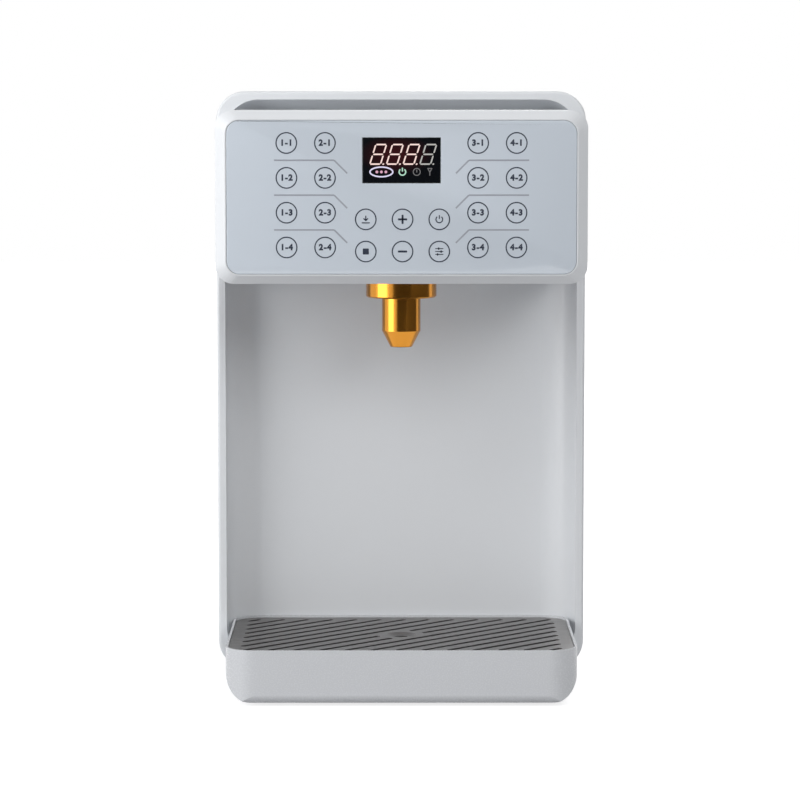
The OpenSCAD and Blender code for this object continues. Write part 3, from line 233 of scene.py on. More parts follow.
# %% Finishes of the inside and the back
stainless = finish(
    "stainless", (0.60, 0.60, 0.59), 0.27, BRUSHED_X, 0.20, mottle=0.04, Metallic=1.0)
stainless_turned = finish(
    "stainless_turned", (0.58, 0.58, 0.57), 0.24, TURNED_Y, 0.15,
    mottle=0.04, Metallic=1.0)
zinc_steel = finish(
    "zinc_steel", (0.58, 0.60, 0.62), 0.40, PEEL, 0.12, mottle=0.10, Metallic=1.0)
plain_brass = finish(
    "plain_brass", (0.62, 0.45, 0.20), 0.30, FINE, 0.12, mottle=0.08, Metallic=1.0)
dark_rubber = finish(
    "dark_rubber", (0.022, 0.022, 0.024), 0.72, FINE, 0.35, mottle=0.15)
hose_silicone = finish(
    "hose_silicone", (0.72, 0.71, 0.66), 0.34, MOULD, 0.06,
    mottle=0.04, Transmission_Weight=0.25)
pad_silicone = finish(
    "pad_silicone", (0.52, 0.12, 0.03), 0.55, FINE, 0.25, mottle=0.10)
board_green = finish(
    "board_green", (0.018, 0.11, 0.045), 0.35, FINE, 0.15, mottle=0.12)
black_plastic = finish(
    "black_plastic", (0.018, 0.018, 0.02), 0.42, PEEL, 0.20, mottle=0.12)
red_plastic = finish(
    "red_plastic", (0.42, 0.012, 0.015), 0.22, MOULD, 0.05, mottle=0.06)
ivory_plastic = finish(
    "ivory_plastic", (0.72, 0.69, 0.60), 0.40, PEEL, 0.08, mottle=0.04)
print("inside finishes made")

# %% [markdown]
# ### Which node wears what
#
# One table from finish to nodes is easier to check than a line for each node. What no
# row names is printed, so a forgotten node can't stay bare.

# %% The nodes get their finishes
WORN_BY = {
    painted_white: ["casing", "rear_cover"],
    moulded_white: ["front_moulding", "head_housing", "head_bezel", "top_lid", "lid_seat"],
    tray_white: ["drip_tray"],
    panel_gloss: ["key_plate"],
    lens_black: ["display_lens"],
    gold_polish: ["nozzle_collar", "nozzle"],
    plain_brass: [
        "collar_nut", "outlet_elbow", "pump_fittings", "drive_gear", "driven_gear"],
    grid_steel: ["drip_grid"],
    stainless: [
        "syrup_tank", "cover_screws", "stand_screws", "head_screws", "hinge_pin",
        "hose_clamps"],
    stainless_turned: ["pump_body", "pump_cover", "motor_shaft", "valve_spring"],
    zinc_steel: [
        "tank_stand", "base_plate", "pump_bolts", "shaft_coupling", "pump_standoffs",
        "motor_bracket", "gearbox", "power_supply"],
    dark_rubber: ["feet", "tray_pads", "tank_gasket", "nozzle_seal"],
    hose_silicone: ["suction_hose", "delivery_hose"],
    pad_silicone: ["heater_pad"],
    board_green: ["sensor_board", "control_board"],
    black_plastic: [
        "motor", "thermostat", "power_inlet", "switch_housing", "display_module"],
    red_plastic: ["switch_rocker"],
    ivory_plastic: ["tank_outlet", "valve_seat", "valve_poppet"],
}
dressed = set()
for material, names in WORN_BY.items():
    wear([nodes[name] for name in names], material)
    dressed.update(names)
print("nodes without a finish:", sorted(set(nodes) - dressed))

# %% [markdown]
# ## Working like a modeller, from code
#
# Blender's operators act on whatever is selected, and loading the CAD model leaves all
# of it selected. So every step first clears the selection, and then picks the faces or
# edges that it needs by their place or direction. These helpers do that picking.

# %% Selecting and editing
TINY = 0.001 * MM


def clear_selection():
    """Leaves edit mode and selects nothing."""
    if bpy.context.object and bpy.context.object.mode != "OBJECT":
        bpy.ops.object.mode_set(mode="OBJECT")
    bpy.ops.object.select_all(action="DESELECT")


def make_active(piece):
    """Selects one piece alone, for the operators that follow."""
    clear_selection()
    piece.select_set(True)
    bpy.context.view_layer.objects.active = piece


def apply_place(piece):
    """Moves the piece's place into its mesh, so that the object sits at the origin."""
    make_active(piece)
    bpy.ops.object.transform_apply(location=True, rotation=True, scale=True)


def open_edit(piece, kind):
    """Clears the mesh's selection, and sets whether faces or edges are picked next."""
    make_active(piece)
    bpy.ops.object.mode_set(mode="EDIT")
    bpy.ops.mesh.select_mode(type=kind)
    bpy.ops.mesh.select_all(action="DESELECT")
    bpy.ops.object.mode_set(mode="OBJECT")


def edit_faces(piece, wanted):
    """Enters edit mode with the faces selected whose centre and normal pass the test."""
    open_edit(piece, "FACE")
    for face in piece.data.polygons:
        face.select = wanted(face.center, face.normal)
    bpy.ops.object.mode_set(mode="EDIT")


def edit_edges(piece, wanted):
    """Enters edit mode with the edges selected whose two ends pass the test."""
    open_edit(piece, "EDGE")
    points = piece.data.vertices
    for edge in piece.data.edges:
        a, b = edge.vertices
        edge.select = wanted(points[a].co, points[b].co)
    bpy.ops.object.mode_set(mode="EDIT")


def leave_edit():
    bpy.ops.object.mode_set(mode="OBJECT")


print("two heights count as one when closer than", round(TINY / MM, 4), "mm")

# %% [markdown]
# ## The key plate and the display window
#
# The printed plate is a flat sheet with rounded corners and a softened front rim, let
# into the bezel, with an opening for the dark display window. A cube is the right
# start: the four edges that run from front to back are bevelled into the corners, a
# cutter takes out the window, and a last small bevel catches the light along the rim.
# The faces could be drawn one by one, but a bevel keeps every corner even. Both pieces
# sit up to a tenth of a millimetre back, which leaves room for the ink to lie on them
# without standing out of the CAD model.

# %% Measures of the head
plate_lo, plate_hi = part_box("key_plate")
lens_lo, lens_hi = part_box("display_lens")
lens_mid = (lens_lo + lens_hi) / 2
FACE_Y = plate_lo.y
PLATE_SETBACK = 0.06 * MM
INK_T = 0.03 * MM
plate_front = FACE_Y + PLATE_SETBACK
ink_y = plate_front - INK_T
print("plate:", [round(v / MM, 1) for v in plate_hi - plate_lo])

# %% A block with round corners and a soft rim
FACING_FRONT = -0.99
CORNER_STEPS = 10
RIM_STEPS = 3


def block(name, lo, hi):
    """A cube that is stretched between two corners."""
    bpy.ops.mesh.primitive_cube_add(size=1, location=(Vector(lo) + Vector(hi)) / 2)
    piece = bpy.context.object
    piece.name = name
    piece.scale = Vector(hi) - Vector(lo)
    apply_place(piece)
    return piece


def round_corners(piece, radius):
    """Bevels the edges that run from front to back."""
    edit_edges(piece, lambda a, b: abs(a.y - b.y) > TINY)
    bpy.ops.mesh.bevel(offset=radius, segments=CORNER_STEPS, affect="EDGES")
    leave_edit()


def soften_front(piece, radius):
    """Bevels the rim of the front face."""
    front = min(v.co.y for v in piece.data.vertices)
    edit_faces(
        piece,
        lambda centre, normal: normal.y < FACING_FRONT and centre.y < front + TINY)
    bpy.ops.mesh.region_to_loop()
    bpy.ops.mesh.bevel(offset=radius, segments=RIM_STEPS, affect="EDGES")
    leave_edit()


print("a round corner has", CORNER_STEPS, "steps, a soft rim", RIM_STEPS)

# %% Modifiers, and dressing a finished piece
SMOOTH_ANGLE = math.radians(35)


def run_modifier(piece, kind, **settings):
    """Adds a modifier, sets it up and applies it."""
    make_active(piece)
    modifier = piece.modifiers.new(kind.lower(), kind)
    for name, value in settings.items():
        setattr(modifier, name, value)
    bpy.ops.object.modifier_apply(modifier=modifier.name)


def dress(piece, material, body="root"):
    """Gives a finished piece its material, smooth shading, body and material slot."""
    wear([piece], material)
    make_active(piece)
    bpy.ops.object.shade_smooth_by_angle(angle=SMOOTH_ANGLE)
    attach(piece, body)


print("edges sharper than", round(math.degrees(SMOOTH_ANGLE)), "degrees stay sharp")

# %% The key plate
PLATE_CORNER = 9 * MM
PLATE_RIM = 0.6 * MM
WINDOW_GAP = 0.25 * MM

key_panel = block("key_panel", (plate_lo.x, plate_front, plate_lo.z), plate_hi)
round_corners(key_panel, PLATE_CORNER)
cutter = block(
    "cutter",
    (lens_lo.x - WINDOW_GAP, plate_front - MM, lens_lo.z - WINDOW_GAP),
    (lens_hi.x + WINDOW_GAP, plate_hi.y + MM, lens_hi.z + WINDOW_GAP),
)
run_modifier(key_panel, "BOOLEAN", operation="DIFFERENCE", object=cutter, solver="EXACT")
bpy.data.objects.remove(cutter)
soften_front(key_panel, PLATE_RIM)
dress(key_panel, panel_gloss)
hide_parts("key_plate")
print("key panel faces:", len(key_panel.data.polygons))

# %% [markdown]
# ### The window's pane
#
# The pane is a dark sheet that fills the opening. Black paint on the plate would do
# from far away, but a pane of its own lies a hair deeper, keeps a thin line of shadow
# round itself, and has a rim that glints.

# %% The display window
WINDOW_SETBACK = 0.10 * MM
WINDOW_RIM = 0.3 * MM

window_front = FACE_Y + WINDOW_SETBACK
display_window = block("display_window", (lens_lo.x, window_front, lens_lo.z), lens_hi)
soften_front(display_window, WINDOW_RIM)
dress(display_window, lens_black)
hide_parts("display_lens")
print("window:", [round(v / MM, 1) for v in lens_hi - lens_lo])

# %% [markdown]
# ## Printing on the plate
#
# The touch keys are only printed circles. A circle is filled, inset by the line's
# width and emptied, which leaves a flat ring, and a Solidify modifier then gives the
# ink a real, if tiny, thickness. One ring is made and copied to every key. The sixteen
# portion keys are numbered by column and row, and the six keys in the middle carry
# plain symbols.

# %% Ink, and flat shapes stood on the plate
ink = finish("key_ink", (0.030, 0.038, 0.062), 0.35, FINE, 0.05, mottle=0.08)


def to_front(piece, x, z, y=ink_y, thickness=INK_T):
    """Stands a flat piece, drawn on the floor plane, on the plate, and thickens it."""
    make_active(piece)
    if piece.type != "MESH":
        bpy.ops.object.convert(target="MESH")
        piece = bpy.context.object
    apply_place(piece)
    piece.data.transform(Matrix.Rotation(math.radians(90), 4, "X"))
    piece.data.transform(Matrix.Translation((x, y, z)))
    run_modifier(piece, "SOLIDIFY", thickness=thickness, offset=-1)
    return piece


def flat_ring(outer, line, across=1.0, steps=64):
    """A ring drawn on the floor plane, or an oval one where across differs from 1."""
    bpy.ops.mesh.primitive_circle_add(vertices=steps, radius=outer, fill_type="NGON")
    piece = bpy.context.object
    piece.scale.x = across
    apply_place(piece)
    edit_faces(piece, lambda centre, normal: True)
    bpy.ops.mesh.inset(thickness=line)
    bpy.ops.mesh.delete(type="FACE")
    leave_edit()
    return piece


def ring(outer, line, x, z, across=1.0, y=ink_y):
    """A printed ring on the plate."""
    return to_front(flat_ring(outer, line, across), x, z, y)


def bar(width, height, x, z, turn=0, y=ink_y, corner=0.3):
    """A printed bar whose corners are rounded by a share of its smaller side."""
    bpy.ops.mesh.primitive_plane_add(size=1)
    piece = bpy.context.object
    piece.scale = (width, height, 1)
    apply_place(piece)
    edit_edges(piece, lambda a, b: True)
    bpy.ops.mesh.bevel(offset=min(width, height) * corner, segments=4, affect="VERTICES")
    leave_edit()
    piece.data.transform(Matrix.Rotation(math.radians(turn), 4, "Z"))
    return to_front(piece, x, z, y)


print("the ink is", round(INK_T / MM, 3), "mm thick")

# %% [markdown]
# ### Making one and copying it
#
# An Array modifier would repeat a ring at even steps, but the keys stand in two groups
# with steps of their own. So a copy is put at each place of a list. Every copy has its
# own mesh, and the copies are joined, which makes all the circles one piece.

# %% Copies, and the key circles
KEY_D = 15.0 * MM
KEY_LINE = 0.85 * MM
COLUMNS = [-79.4 * MM, -52.8 * MM, 52.8 * MM, 79.4 * MM]
ROWS = [394.0 * MM, 370.0 * MM, 346.0 * MM, 322.0 * MM]
CENTRE_COLUMNS = [-24.7 * MM, 0.7 * MM, 26.1 * MM]
CENTRE_ROWS = [341.4 * MM, 319.2 * MM]


def copy_of(piece, offset):
    """A copy with its own mesh, moved by offset inside that mesh."""
    twin = piece.copy()
    twin.data = piece.data.copy()
    twin.data.transform(Matrix.Translation(offset))
    bpy.context.scene.collection.objects.link(twin)
    return twin


def repeat(piece, offsets):
    """A copy of the piece at each offset, in place of the piece itself."""
    copies = [copy_of(piece, offset) for offset in offsets]
    bpy.data.objects.remove(piece)
    return copies


def join(pieces, name):
    """Joins pieces into one, under a new name."""
    clear_selection()
    for piece in pieces:
        piece.select_set(True)
    bpy.context.view_layer.objects.active = pieces[0]
    if len(pieces) > 1:
        bpy.ops.object.join()
    pieces[0].name = name
    pieces[0].data.name = name
    return pieces[0]


key_places = [(x, z) for x in COLUMNS for z in ROWS]
key_places += [(x, z) for x in CENTRE_COLUMNS for z in CENTRE_ROWS]
circles = repeat(ring(KEY_D / 2, KEY_LINE, 0, 0), [(x, 0, z) for x, z in key_places])
key_rings = join(circles, "key_rings")
dress(key_rings, ink)
print("keys:", len(key_places))

# %% [markdown]
# ### Numbers on the portion keys
#
# Numbers could be drawn from bars, but a text object already has well-shaped figures.
# It is made bolder by its offset, turned into a mesh, and only then stood on the
# plate, because Blender doesn't apply a turn to a text object.

# %% Numbers
NUMBER_H = 4.2 * MM
TEXT_PER_HEIGHT = 1.35
NUMBER_SPACING = 1.18
NUMBER_BOLD = 0.3 * MM


def number(text, x, z):
    """A printed number, centred on its key."""
    bpy.ops.object.text_add()
    piece = bpy.context.object
    piece.data.body = text
    piece.data.size = NUMBER_H * TEXT_PER_HEIGHT
    piece.data.space_character = NUMBER_SPACING
    piece.data.align_x = "CENTER"
    piece.data.align_y = "CENTER"
    piece.data.offset = NUMBER_BOLD
    return to_front(piece, x, z)


labels = [
    number(f"{column + 1}-{row + 1}", x, z)
    for column, x in enumerate(COLUMNS)
    for row, z in enumerate(ROWS)
]
key_numbers = join(labels, "key_numbers")
dress(key_numbers, ink)
print("numbers:", len(labels))

# %% [markdown]
# ### Symbols on the middle keys
#
# A plus and a minus mean more and less, an arrow into a dish means keep this amount, a
# square means stop, three sliders mean settings, and an open ring with a bar is power.
# Each is built from the same rounded bar, so that all the symbols look alike. Only the
# power ring is different: its faces at the top are deleted while it is still flat.

# %% The power symbol
POWER_D = 5.4 * MM
# shares of the symbol's width
OPEN_FROM, OPEN_TO_SIDE = 0.2, 0.26
POWER_BAR, POWER_BAR_UP = 0.5, 0.3


def power_symbol(x, z, size, line, y=ink_y):
    """A ring that is opened at its top while still flat, with a bar in the opening."""
    mark = flat_ring(size / 2, line)
    edit_faces(mark, lambda centre, normal: (
        centre.y > size * OPEN_FROM and abs(centre.x) < size * OPEN_TO_SIDE))
    bpy.ops.mesh.delete(type="FACE")
    leave_edit()
    upright = bar(line, size * POWER_BAR, x, z + size * POWER_BAR_UP, y=y)
    return [to_front(mark, x, z, y), upright]


print("the power symbol is", round(POWER_D / MM, 1), "mm wide")

# %% The six symbols
SIGN = 6.4 * MM
STROKE = 1.4 * MM
THIN_STROKE = 0.8 * MM
ARROW_H, ARROW_UP = 3.2 * MM, 1.0 * MM
TIP_L, TIP_OUT, TIP_DOWN = 2.4 * MM, 0.75 * MM, 0.1 * MM
DISH_W, DISH_DOWN = 5.6 * MM, 2.4 * MM
STOP_SIDE, STOP_CORNER = 4.2 * MM, 0.12
SLIDER_W, SLIDER_LINE, SLIDER_PITCH = 5.8 * MM, 0.6 * MM, 2.0 * MM
KNOB_W, KNOB_H = 1.1 * MM, 1.6 * MM
KNOB_SHIFTS = [-1.2 * MM, 1.3 * MM, -0.4 * MM]
left, mid, right = CENTRE_COLUMNS
upper, lower = CENTRE_ROWS

plus_and_minus = [
    bar(SIGN, STROKE, mid, upper),
    bar(STROKE, SIGN, mid, upper),
    bar(SIGN, STROKE, mid, lower),
]
keep_sign = [bar(THIN_STROKE, ARROW_H, left, upper + ARROW_UP)]
for side in (-1, 1):
    keep_sign.append(bar(
        THIN_STROKE, TIP_L, left + side * TIP_OUT, upper - TIP_DOWN, turn=-45 * side))
keep_sign.append(bar(DISH_W, THIN_STROKE, left, upper - DISH_DOWN))
stop_sign = [bar(STOP_SIDE, STOP_SIDE, left, lower, corner=STOP_CORNER)]

heights = [i * SLIDER_PITCH for i in (-1, 0, 1)]
settings_sign = repeat(
    bar(SLIDER_W, SLIDER_LINE, right, lower), [(0, 0, up) for up in heights])
settings_sign += repeat(
    bar(KNOB_W, KNOB_H, right, lower), [(s, 0, up) for s, up in zip(KNOB_SHIFTS, heights)])
power_key_sign = power_symbol(right, upper, POWER_D, THIN_STROKE)

strokes = plus_and_minus + keep_sign + stop_sign + settings_sign + power_key_sign
print("strokes in the symbols:", len(strokes))
key_signs = join(strokes, "key_signs")
dress(key_signs, ink)

# %% [markdown]
# ## Divider lines
#
# Three grey lines on each side part the rows of keys. Each runs in from the plate's
# edge and ends in a short stretch at 45 degrees towards the display. A bent line could
# be a curve with a width, but two bars that overlap at the bend look the same here. So
# one straight bar and one slanting bar are made for each side, and copied to each row.

# %% Dividers
DIVIDER_Z = [382.1 * MM, 358.1 * MM, 334.1 * MM]
DIVIDER_OUT = 88.0 * MM
DIVIDER_BEND = 46.5 * MM
DIVIDER_DROP = 9.0 * MM
DIVIDER_LINE = 1.1 * MM
DIVIDER_CORNER = 0.1
divider_ink = finish("divider_ink", (0.34, 0.36, 0.41), 0.35, FINE, 0.05, mottle=0.04)

rows = [(0, 0, z) for z in DIVIDER_Z]
lines = []
for side in (-1, 1):
    straight = bar(
        DIVIDER_OUT - DIVIDER_BEND, DIVIDER_LINE,
        side * (DIVIDER_OUT + DIVIDER_BEND) / 2, 0, corner=DIVIDER_CORNER)
    slant = bar(
        DIVIDER_DROP * math.sqrt(2), DIVIDER_LINE,
        side * (DIVIDER_BEND - DIVIDER_DROP / 2), -DIVIDER_DROP / 2,
        turn=45 * side, corner=DIVIDER_CORNER)
    lines += repeat(straight, rows) + repeat(slant, rows)
dividers = join(lines, "dividers")
dress(dividers, divider_ink)
print("divider faces:", len(dividers.data.polygons))

# %% [markdown]
# ## The lit display
#
# Signs that give off light are dark plastic with an emission. The lit digits are warm,
# the small signs have colours of their own, and the digit that is off gets a weak grey
# glow as well: painted light that stands in for the light its pale plastic catches
# through the pane. A strength near one keeps their colours: far above one they would
# all turn white.

# %% Light that a finish gives off
DARK_BODY = (0.02, 0.02, 0.02)


def glowing(name, colour, strength):
    """A dark plastic that gives off light of one colour."""
    material = finish(name, DARK_BODY, 0.4, FINE, 0.02, mottle=0.05)
    shader = material.node_tree.nodes["Principled BSDF"]
    shader.inputs["Emission Color"].default_value = (*colour, 1)
    shader.inputs["Emission Strength"].default_value = strength
    return material


lit_warm = glowing("lit_warm", (1.0, 0.76, 0.70), 0.97)
lit_violet = glowing("lit_violet", (0.80, 0.76, 1.0), 0.92)
lit_pink = glowing("lit_pink", (0.95, 0.50, 0.68), 0.75)
lit_green = glowing("lit_green", (0.55, 0.92, 0.72), 0.75)
# painted light: the off digit glows a weak grey in place of the light its plastic catches
off_grey_painted_glow = glowing("off_grey_painted_glow", (0.60, 0.60, 0.57), 0.75)
faint_grey = glowing("faint_grey", (0.42, 0.41, 0.42), 0.34)
print("glowing finishes made")

# %% [markdown]
# ### The red glow in the window
#
# The lit digits also redden the dark window round them. A lamp behind the pane would
# light the whole plate, so the glow is a ball of light in the window's own finish,
# strongest at the middle digit and fading to nothing at its reach.

# %% The red glow
GLOW_COLOUR = (1.0, 0.05, 0.04, 1)
GLOW_AT = (-4 * MM, lens_mid.y, 386 * MM)
GLOW_REACH = (26 * MM, 20 * MM, 14 * MM)
GLOW_STRENGTH = 0.03
# the halo's value from which the glow is full
GLOW_FULL = 0.8


def halo(tree, centre, reach):
    """One at the centre, falling evenly to nothing at the reach along each axis."""
    place = tree.nodes.new("ShaderNodeTexCoord")
    shrink = tree.nodes.new("ShaderNodeMapping")
    shrink.inputs["Scale"].default_value = [1 / r for r in reach]
    shrink.inputs["Location"].default_value = [-c / r for c, r in zip(centre, reach)]
    ball = tree.nodes.new("ShaderNodeTexGradient")
    ball.gradient_type = "SPHERICAL"
    tree.links.new(place.outputs["Object"], shrink.inputs["Vector"])
    tree.links.new(shrink.outputs["Vector"], ball.inputs["Vector"])
    return ball.outputs["Fac"]


window_tree = lens_black.node_tree
window_shader = window_tree.nodes["Principled BSDF"]
window_shader.inputs["Emission Color"].default_value = GLOW_COLOUR
red_glow = halo(window_tree, GLOW_AT, GLOW_REACH)
window_tree.links.new(
    spread(window_tree, red_glow, 0, GLOW_STRENGTH, start=0, stop=GLOW_FULL),
    window_shader.inputs["Emission Strength"])
print("the glow reaches", [round(reach / MM) for reach in GLOW_REACH], "mm")

# %% [markdown]
# ### Seven segments
#
# Behind the dark window sit four seven-segment digits that lean to the right, each
# with its point. One segment is a long hexagon: a six-sided circle whose two halves
# are pulled apart. A lying one and a standing one are made and copied, the digit is
# sheared by its lean, and the digit is copied across. Three digits glow warm, and the
# fourth is off, with a painted grey glow for the light its plastic catches.

# %% One segment
SEGMENT = 1.15 * MM


def segment(length):
    """A flat bar with pointed ends, lying along X."""
    bpy.ops.mesh.primitive_circle_add(vertices=6, radius=SEGMENT / 2, fill_type="NGON")
    piece = bpy.context.object
    piece.rotation_euler.z = math.radians(30)
    apply_place(piece)
    stretch = length - SEGMENT
    edit_edges(piece, lambda a, b: a.x > TINY and b.x > TINY)
    bpy.ops.transform.translate(value=(stretch, 0, 0))
    leave_edit()
    piece.data.transform(Matrix.Translation((-stretch / 2, 0, 0)))
    return piece


print("a segment is", round(SEGMENT / MM, 2), "mm thick")

# %% One digit, and four of them
LIT_SETBACK = 0.07 * MM
DIGIT_H = 14.6 * MM
DIGIT_W = 8.5 * MM
SEGMENT_GAP = 0.55 * MM
POINT_OUT = 1.3 * MM
POINT_STRETCH = 1.15
DIGIT_PITCH = 11.5 * MM
DIGIT_X = -16.1 * MM
DIGIT_Z = 386.2 * MM
LEAN = math.tan(math.radians(17))
lit_y = FACE_Y + LIT_SETBACK


def digit(x, z):
    """All seven segments and the point, leaning to the right."""
    half = DIGIT_H / 2
    lying = segment(DIGIT_W - SEGMENT - SEGMENT_GAP)
    parts = repeat(lying, [(0, up * (half - SEGMENT / 2), 0) for up in (-1, 0, 1)])
    standing = segment(half - SEGMENT - SEGMENT_GAP)
    standing.data.transform(Matrix.Rotation(math.radians(90), 4, "Z"))
    parts += repeat(standing, [
        (side * (DIGIT_W - SEGMENT) / 2, up * half / 2, 0)
        for up in (-1, 1) for side in (-1, 1)])
    point = segment(SEGMENT * POINT_STRETCH)
    point.data.transform(
        Matrix.Translation((DIGIT_W / 2 + POINT_OUT, -half + SEGMENT / 2, 0)))
    whole = join(parts + [point], "digit")
    shear = Matrix.Identity(4)
    shear[0][1] = LEAN
    whole.data.transform(shear)
    return to_front(whole, x, z, lit_y)


digits = repeat(digit(DIGIT_X, DIGIT_Z), [(i * DIGIT_PITCH, 0, 0) for i in range(4)])
lit_digits = join(digits[:3], "lit_digits")
dress(lit_digits, lit_warm)
# the off digit's grey is a painted glow, not a lamp
off_digit = join(digits[3:], "off_digit")
dress(off_digit, off_grey_painted_glow)
print("digits:", len(digits))

# %% [markdown]
# ## Signs under the digits
#
# A row of small signs says what the machine is doing: three dots in an oval while it
# pours, an open ring for power, a dial and a stem glass. Each is joined from the same
# few shapes as the keys' signs, and the oval is a ring that is stretched before its
# line is inset, so that the line keeps its width.

# %% Signs in the window
SIGN_Z = 374.1 * MM
OVAL_X, POWER_X, DIAL_X, GLASS_X = -13.9 * MM, 0.6 * MM, 10.5 * MM, 19.5 * MM
OVAL_R, OVAL_LINE, OVAL_ACROSS = 3.8 * MM, 0.95 * MM, 2.2
DOT_R, DOT_PITCH = 0.95 * MM, 3.1 * MM
POWER_LINE = 0.9 * MM
HAIRLINE = 0.6 * MM
DIAL_R, HAND_L, HAND_UP = 2.7 * MM, 2.0 * MM, 0.6 * MM
GLASS_SIDE, SIDE_OUT, SIDE_UP, SIDE_TILT = 3.4 * MM, 0.6 * MM, 0.9 * MM, 28
GLASS_RIM_UP, STEM_L, STEM_DOWN = 2.4 * MM, 2.4 * MM, 1.4 * MM

oval = ring(OVAL_R, OVAL_LINE, OVAL_X, SIGN_Z, across=OVAL_ACROSS, y=lit_y)
oval.name = "sign_oval"
dress(oval, lit_violet)

bpy.ops.mesh.primitive_circle_add(vertices=24, radius=DOT_R, fill_type="NGON")
middle_dot = to_front(bpy.context.object, OVAL_X, SIGN_Z, lit_y)
dots = join(repeat(middle_dot, [(i * DOT_PITCH, 0, 0) for i in (-1, 0, 1)]), "sign_dots")
dress(dots, lit_pink)

power_sign = join(power_symbol(POWER_X, SIGN_Z, POWER_D, POWER_LINE, y=lit_y), "sign_power")
dress(power_sign, lit_green)

dial_sign = join([
    ring(DIAL_R, HAIRLINE, DIAL_X, SIGN_Z, y=lit_y),
    bar(HAIRLINE, HAND_L, DIAL_X, SIGN_Z + HAND_UP, y=lit_y),
], "sign_dial")
dress(dial_sign, faint_grey)

glass_sides = [
    bar(HAIRLINE, GLASS_SIDE, GLASS_X + side * SIDE_OUT, SIGN_Z + SIDE_UP,
        turn=-SIDE_TILT * side, y=lit_y)
    for side in (-1, 1)]
glass_sign = join([
    bar(GLASS_SIDE, HAIRLINE, GLASS_X, SIGN_Z + GLASS_RIM_UP, y=lit_y),
    *glass_sides,
    bar(HAIRLINE, STEM_L, GLASS_X, SIGN_Z - STEM_DOWN, y=lit_y),
], "sign_glass")
dress(glass_sign, faint_grey)
print("signs stand", round((DIGIT_Z - SIGN_Z) / MM, 1), "mm under the digits' middle")

# %% [markdown]
# ## Light
#
# White plastic on a white ground only reads through its shading, so the light has to
# come mostly from one side. A large soft lamp stands on the left, which leaves the
# recess's left wall in its own shadow. It is kept weak enough that the head's left
# edge stays just below white. A lamp of much the same power fills from the front
# right, further off, a third reaches the dished front above the head, and a fourth
# stands behind, for the views of the back.

# %% Lamps
def lamp(name, place, aim, width, height, power):
    """A soft rectangular lamp that the camera doesn't see."""
    bpy.ops.object.light_add(type="AREA", location=place)
    light = bpy.context.object
    light.name = name
    light.data.shape = "RECTANGLE"
    light.data.size = width
    light.data.size_y = height
    light.data.energy = power
    light.rotation_euler = (Vector(aim) - Vector(place)).to_track_quat("-Z", "Y").to_euler()
    light.visible_camera = False
    return light


# each lamp's place, its aim, its width and height in metres, and its power in watts
lamps = [
    lamp("key_lamp", (-1.15, -0.68, 0.62), (0, -0.1, 0.26), 0.9, 1.1, 12.5),
    lamp("fill_lamp", (0.9, -1.7, 1.1), (0, -0.1, 0.3), 0.8, 0.8, 13),
    lamp("top_lamp", (0.1, -0.95, 1.55), (0, -0.1, 0.4), 0.9, 0.9, 4),
    lamp("back_lamp", (0.5, 1.9, 1.2), (0, 0.2, 0.3), 1.2, 1.0, 17),
]
print("lamps:", {light.name: light.data.energy for light in lamps})

# %% [markdown]
# ### Cards for the brass to reflect
#
# Polished brass shows little but its surroundings, and in a white room it looks like
# paper. Photographers put dark cards round it. A black card stands in front and a grey
# one on the right. They are hidden from every ray but reflections, so they neither
# shade the white plastic nor show in the picture.

# %% The dark cards
def flag(name, lo, hi, material):
    """A card that is there for reflections, and neither lights nor shades the object."""
    card = block(name, lo, hi)
    wear([card], material)
    card.visible_camera = False
    card.visible_diffuse = False
    card.visible_shadow = False
    card.visible_transmission = False


card_black = finish("card_black", (0.02, 0.019, 0.018), 0.9, FINE, 0.05, mottle=0.1)
card_grey = finish("card_grey", (0.16, 0.155, 0.15), 0.9, FINE, 0.05, mottle=0.1)
CARD_H = 1.2
CARD_T = 0.01
FRONT_Y = -1.31
RIGHT_X = 0.76
flag("front_card", (-0.6, FRONT_Y, 0), (0.75, FRONT_Y + CARD_T, CARD_H), card_black)
flag("right_card", (RIGHT_X, FRONT_Y, 0), (RIGHT_X + CARD_T, 0.05, CARD_H), card_grey)
print("cards:", CARD_H, "m high")

# %% [markdown]
# ## Background
#
# The background is white to the camera, in reflections and through glass, but not to
# the rest of the scene, so it adds little light of its own. A brighter world would
# give the same white, but it would also wash out every shadow on the object.

# %% World
SKY = 0.17


def calc(tree, operation, first, second):
    """One sum on two values, each of which is a number or another node's output."""
    step = tree.nodes.new("ShaderNodeMath")
    step.operation = operation
    for value, socket in zip((first, second), step.inputs):
        if isinstance(value, (int, float)):
            socket.default_value = value
        else:
            tree.links.new(value, socket)
    return step.outputs["Value"]


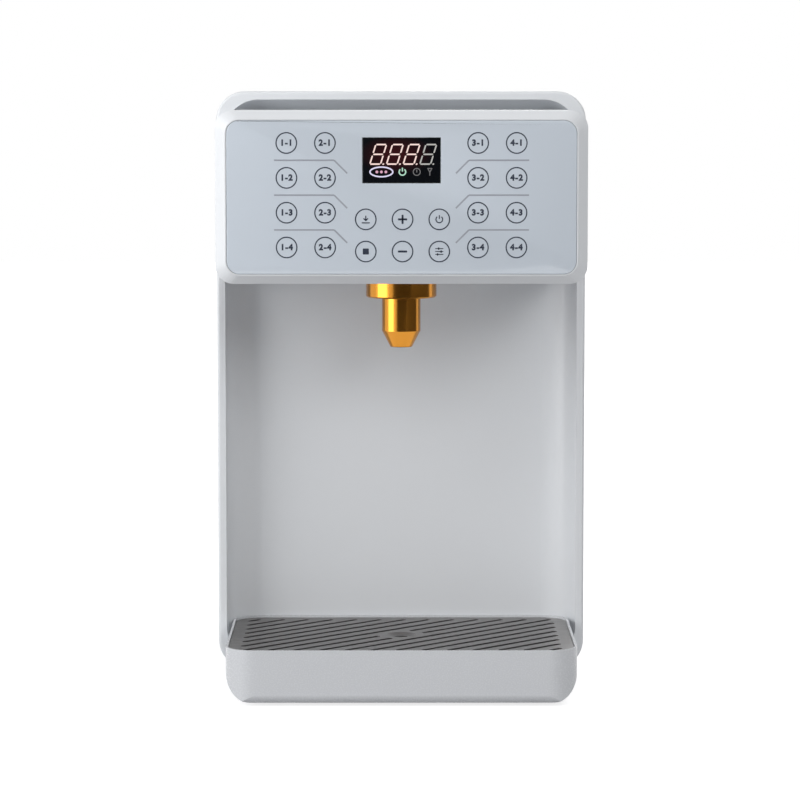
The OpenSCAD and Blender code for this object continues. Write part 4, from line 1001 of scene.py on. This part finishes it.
def looked_at(tree):
    """One for what the camera, a reflection or a view through glass sees, else nothing."""
    rays = tree.nodes.new("ShaderNodeLightPath").outputs
    seen = calc(tree, "MAXIMUM", rays["Is Camera Ray"], rays["Is Glossy Ray"])
    return calc(tree, "MAXIMUM", seen, rays["Is Transmission Ray"])


world = bpy.data.worlds.new("studio")
bpy.context.scene.world = world
world.use_nodes = True
sky_tree = world.node_tree
sky = sky_tree.nodes["Background"]
sky.inputs["Color"].default_value = (1, 1, 1, 1)
extra = calc(sky_tree, "MULTIPLY", looked_at(sky_tree), 1 - SKY)
sky_tree.links.new(calc(sky_tree, "ADD", extra, SKY), sky.inputs["Strength"])
print("sky:", SKY, "for light, 1 to look at")

# %% [markdown]
# ## Floor
#
# The floor is lifted in the same way as the background. Its lift is weaker close to
# the object, where it leaves room for the shadow, and grows to plain white further
# out, so that no edge shows against the background. The halo of the window's glow
# does this too: here its centre is the foot of the object.

# %% Floor
FLOOR_SIZE = 12
FLOOR_LIFT = 0.74
FLOOR_REACH = 1.6
# the halo's value from which the floor counts as near
FLOOR_NEAR = 0.9
FLOOR_GRAIN = (40, 40, 40)

clear_selection()
bpy.ops.mesh.primitive_plane_add(size=FLOOR_SIZE, location=(0, 0, 0))
floor = bpy.context.object
floor.name = "floor"
pale_floor = finish(
    "pale_floor", (0.45, 0.45, 0.46), 0.7, FLOOR_GRAIN, 0.02, mottle=0.01)
floor_tree = pale_floor.node_tree
near = halo(floor_tree, (0, 0, 0), (FLOOR_REACH, FLOOR_REACH, FLOOR_REACH))
lift = calc(
    floor_tree, "MULTIPLY", looked_at(floor_tree),
    spread(floor_tree, near, 1, FLOOR_LIFT, start=0, stop=FLOOR_NEAR))
floor_shader = floor_tree.nodes["Principled BSDF"]
floor_shader.inputs["Emission Color"].default_value = (1, 1, 1, 1)
floor_tree.links.new(lift, floor_shader.inputs["Emission Strength"])
wear([floor], pale_floor)
print("floor lift:", FLOOR_LIFT, "near, 1 from", FLOOR_REACH, "m")

# %% [markdown]
# ## Closing
#
# The Standard view leaves each colour as it was written.

bpy.context.scene.view_settings.view_transform = "Standard"
clear_selection()
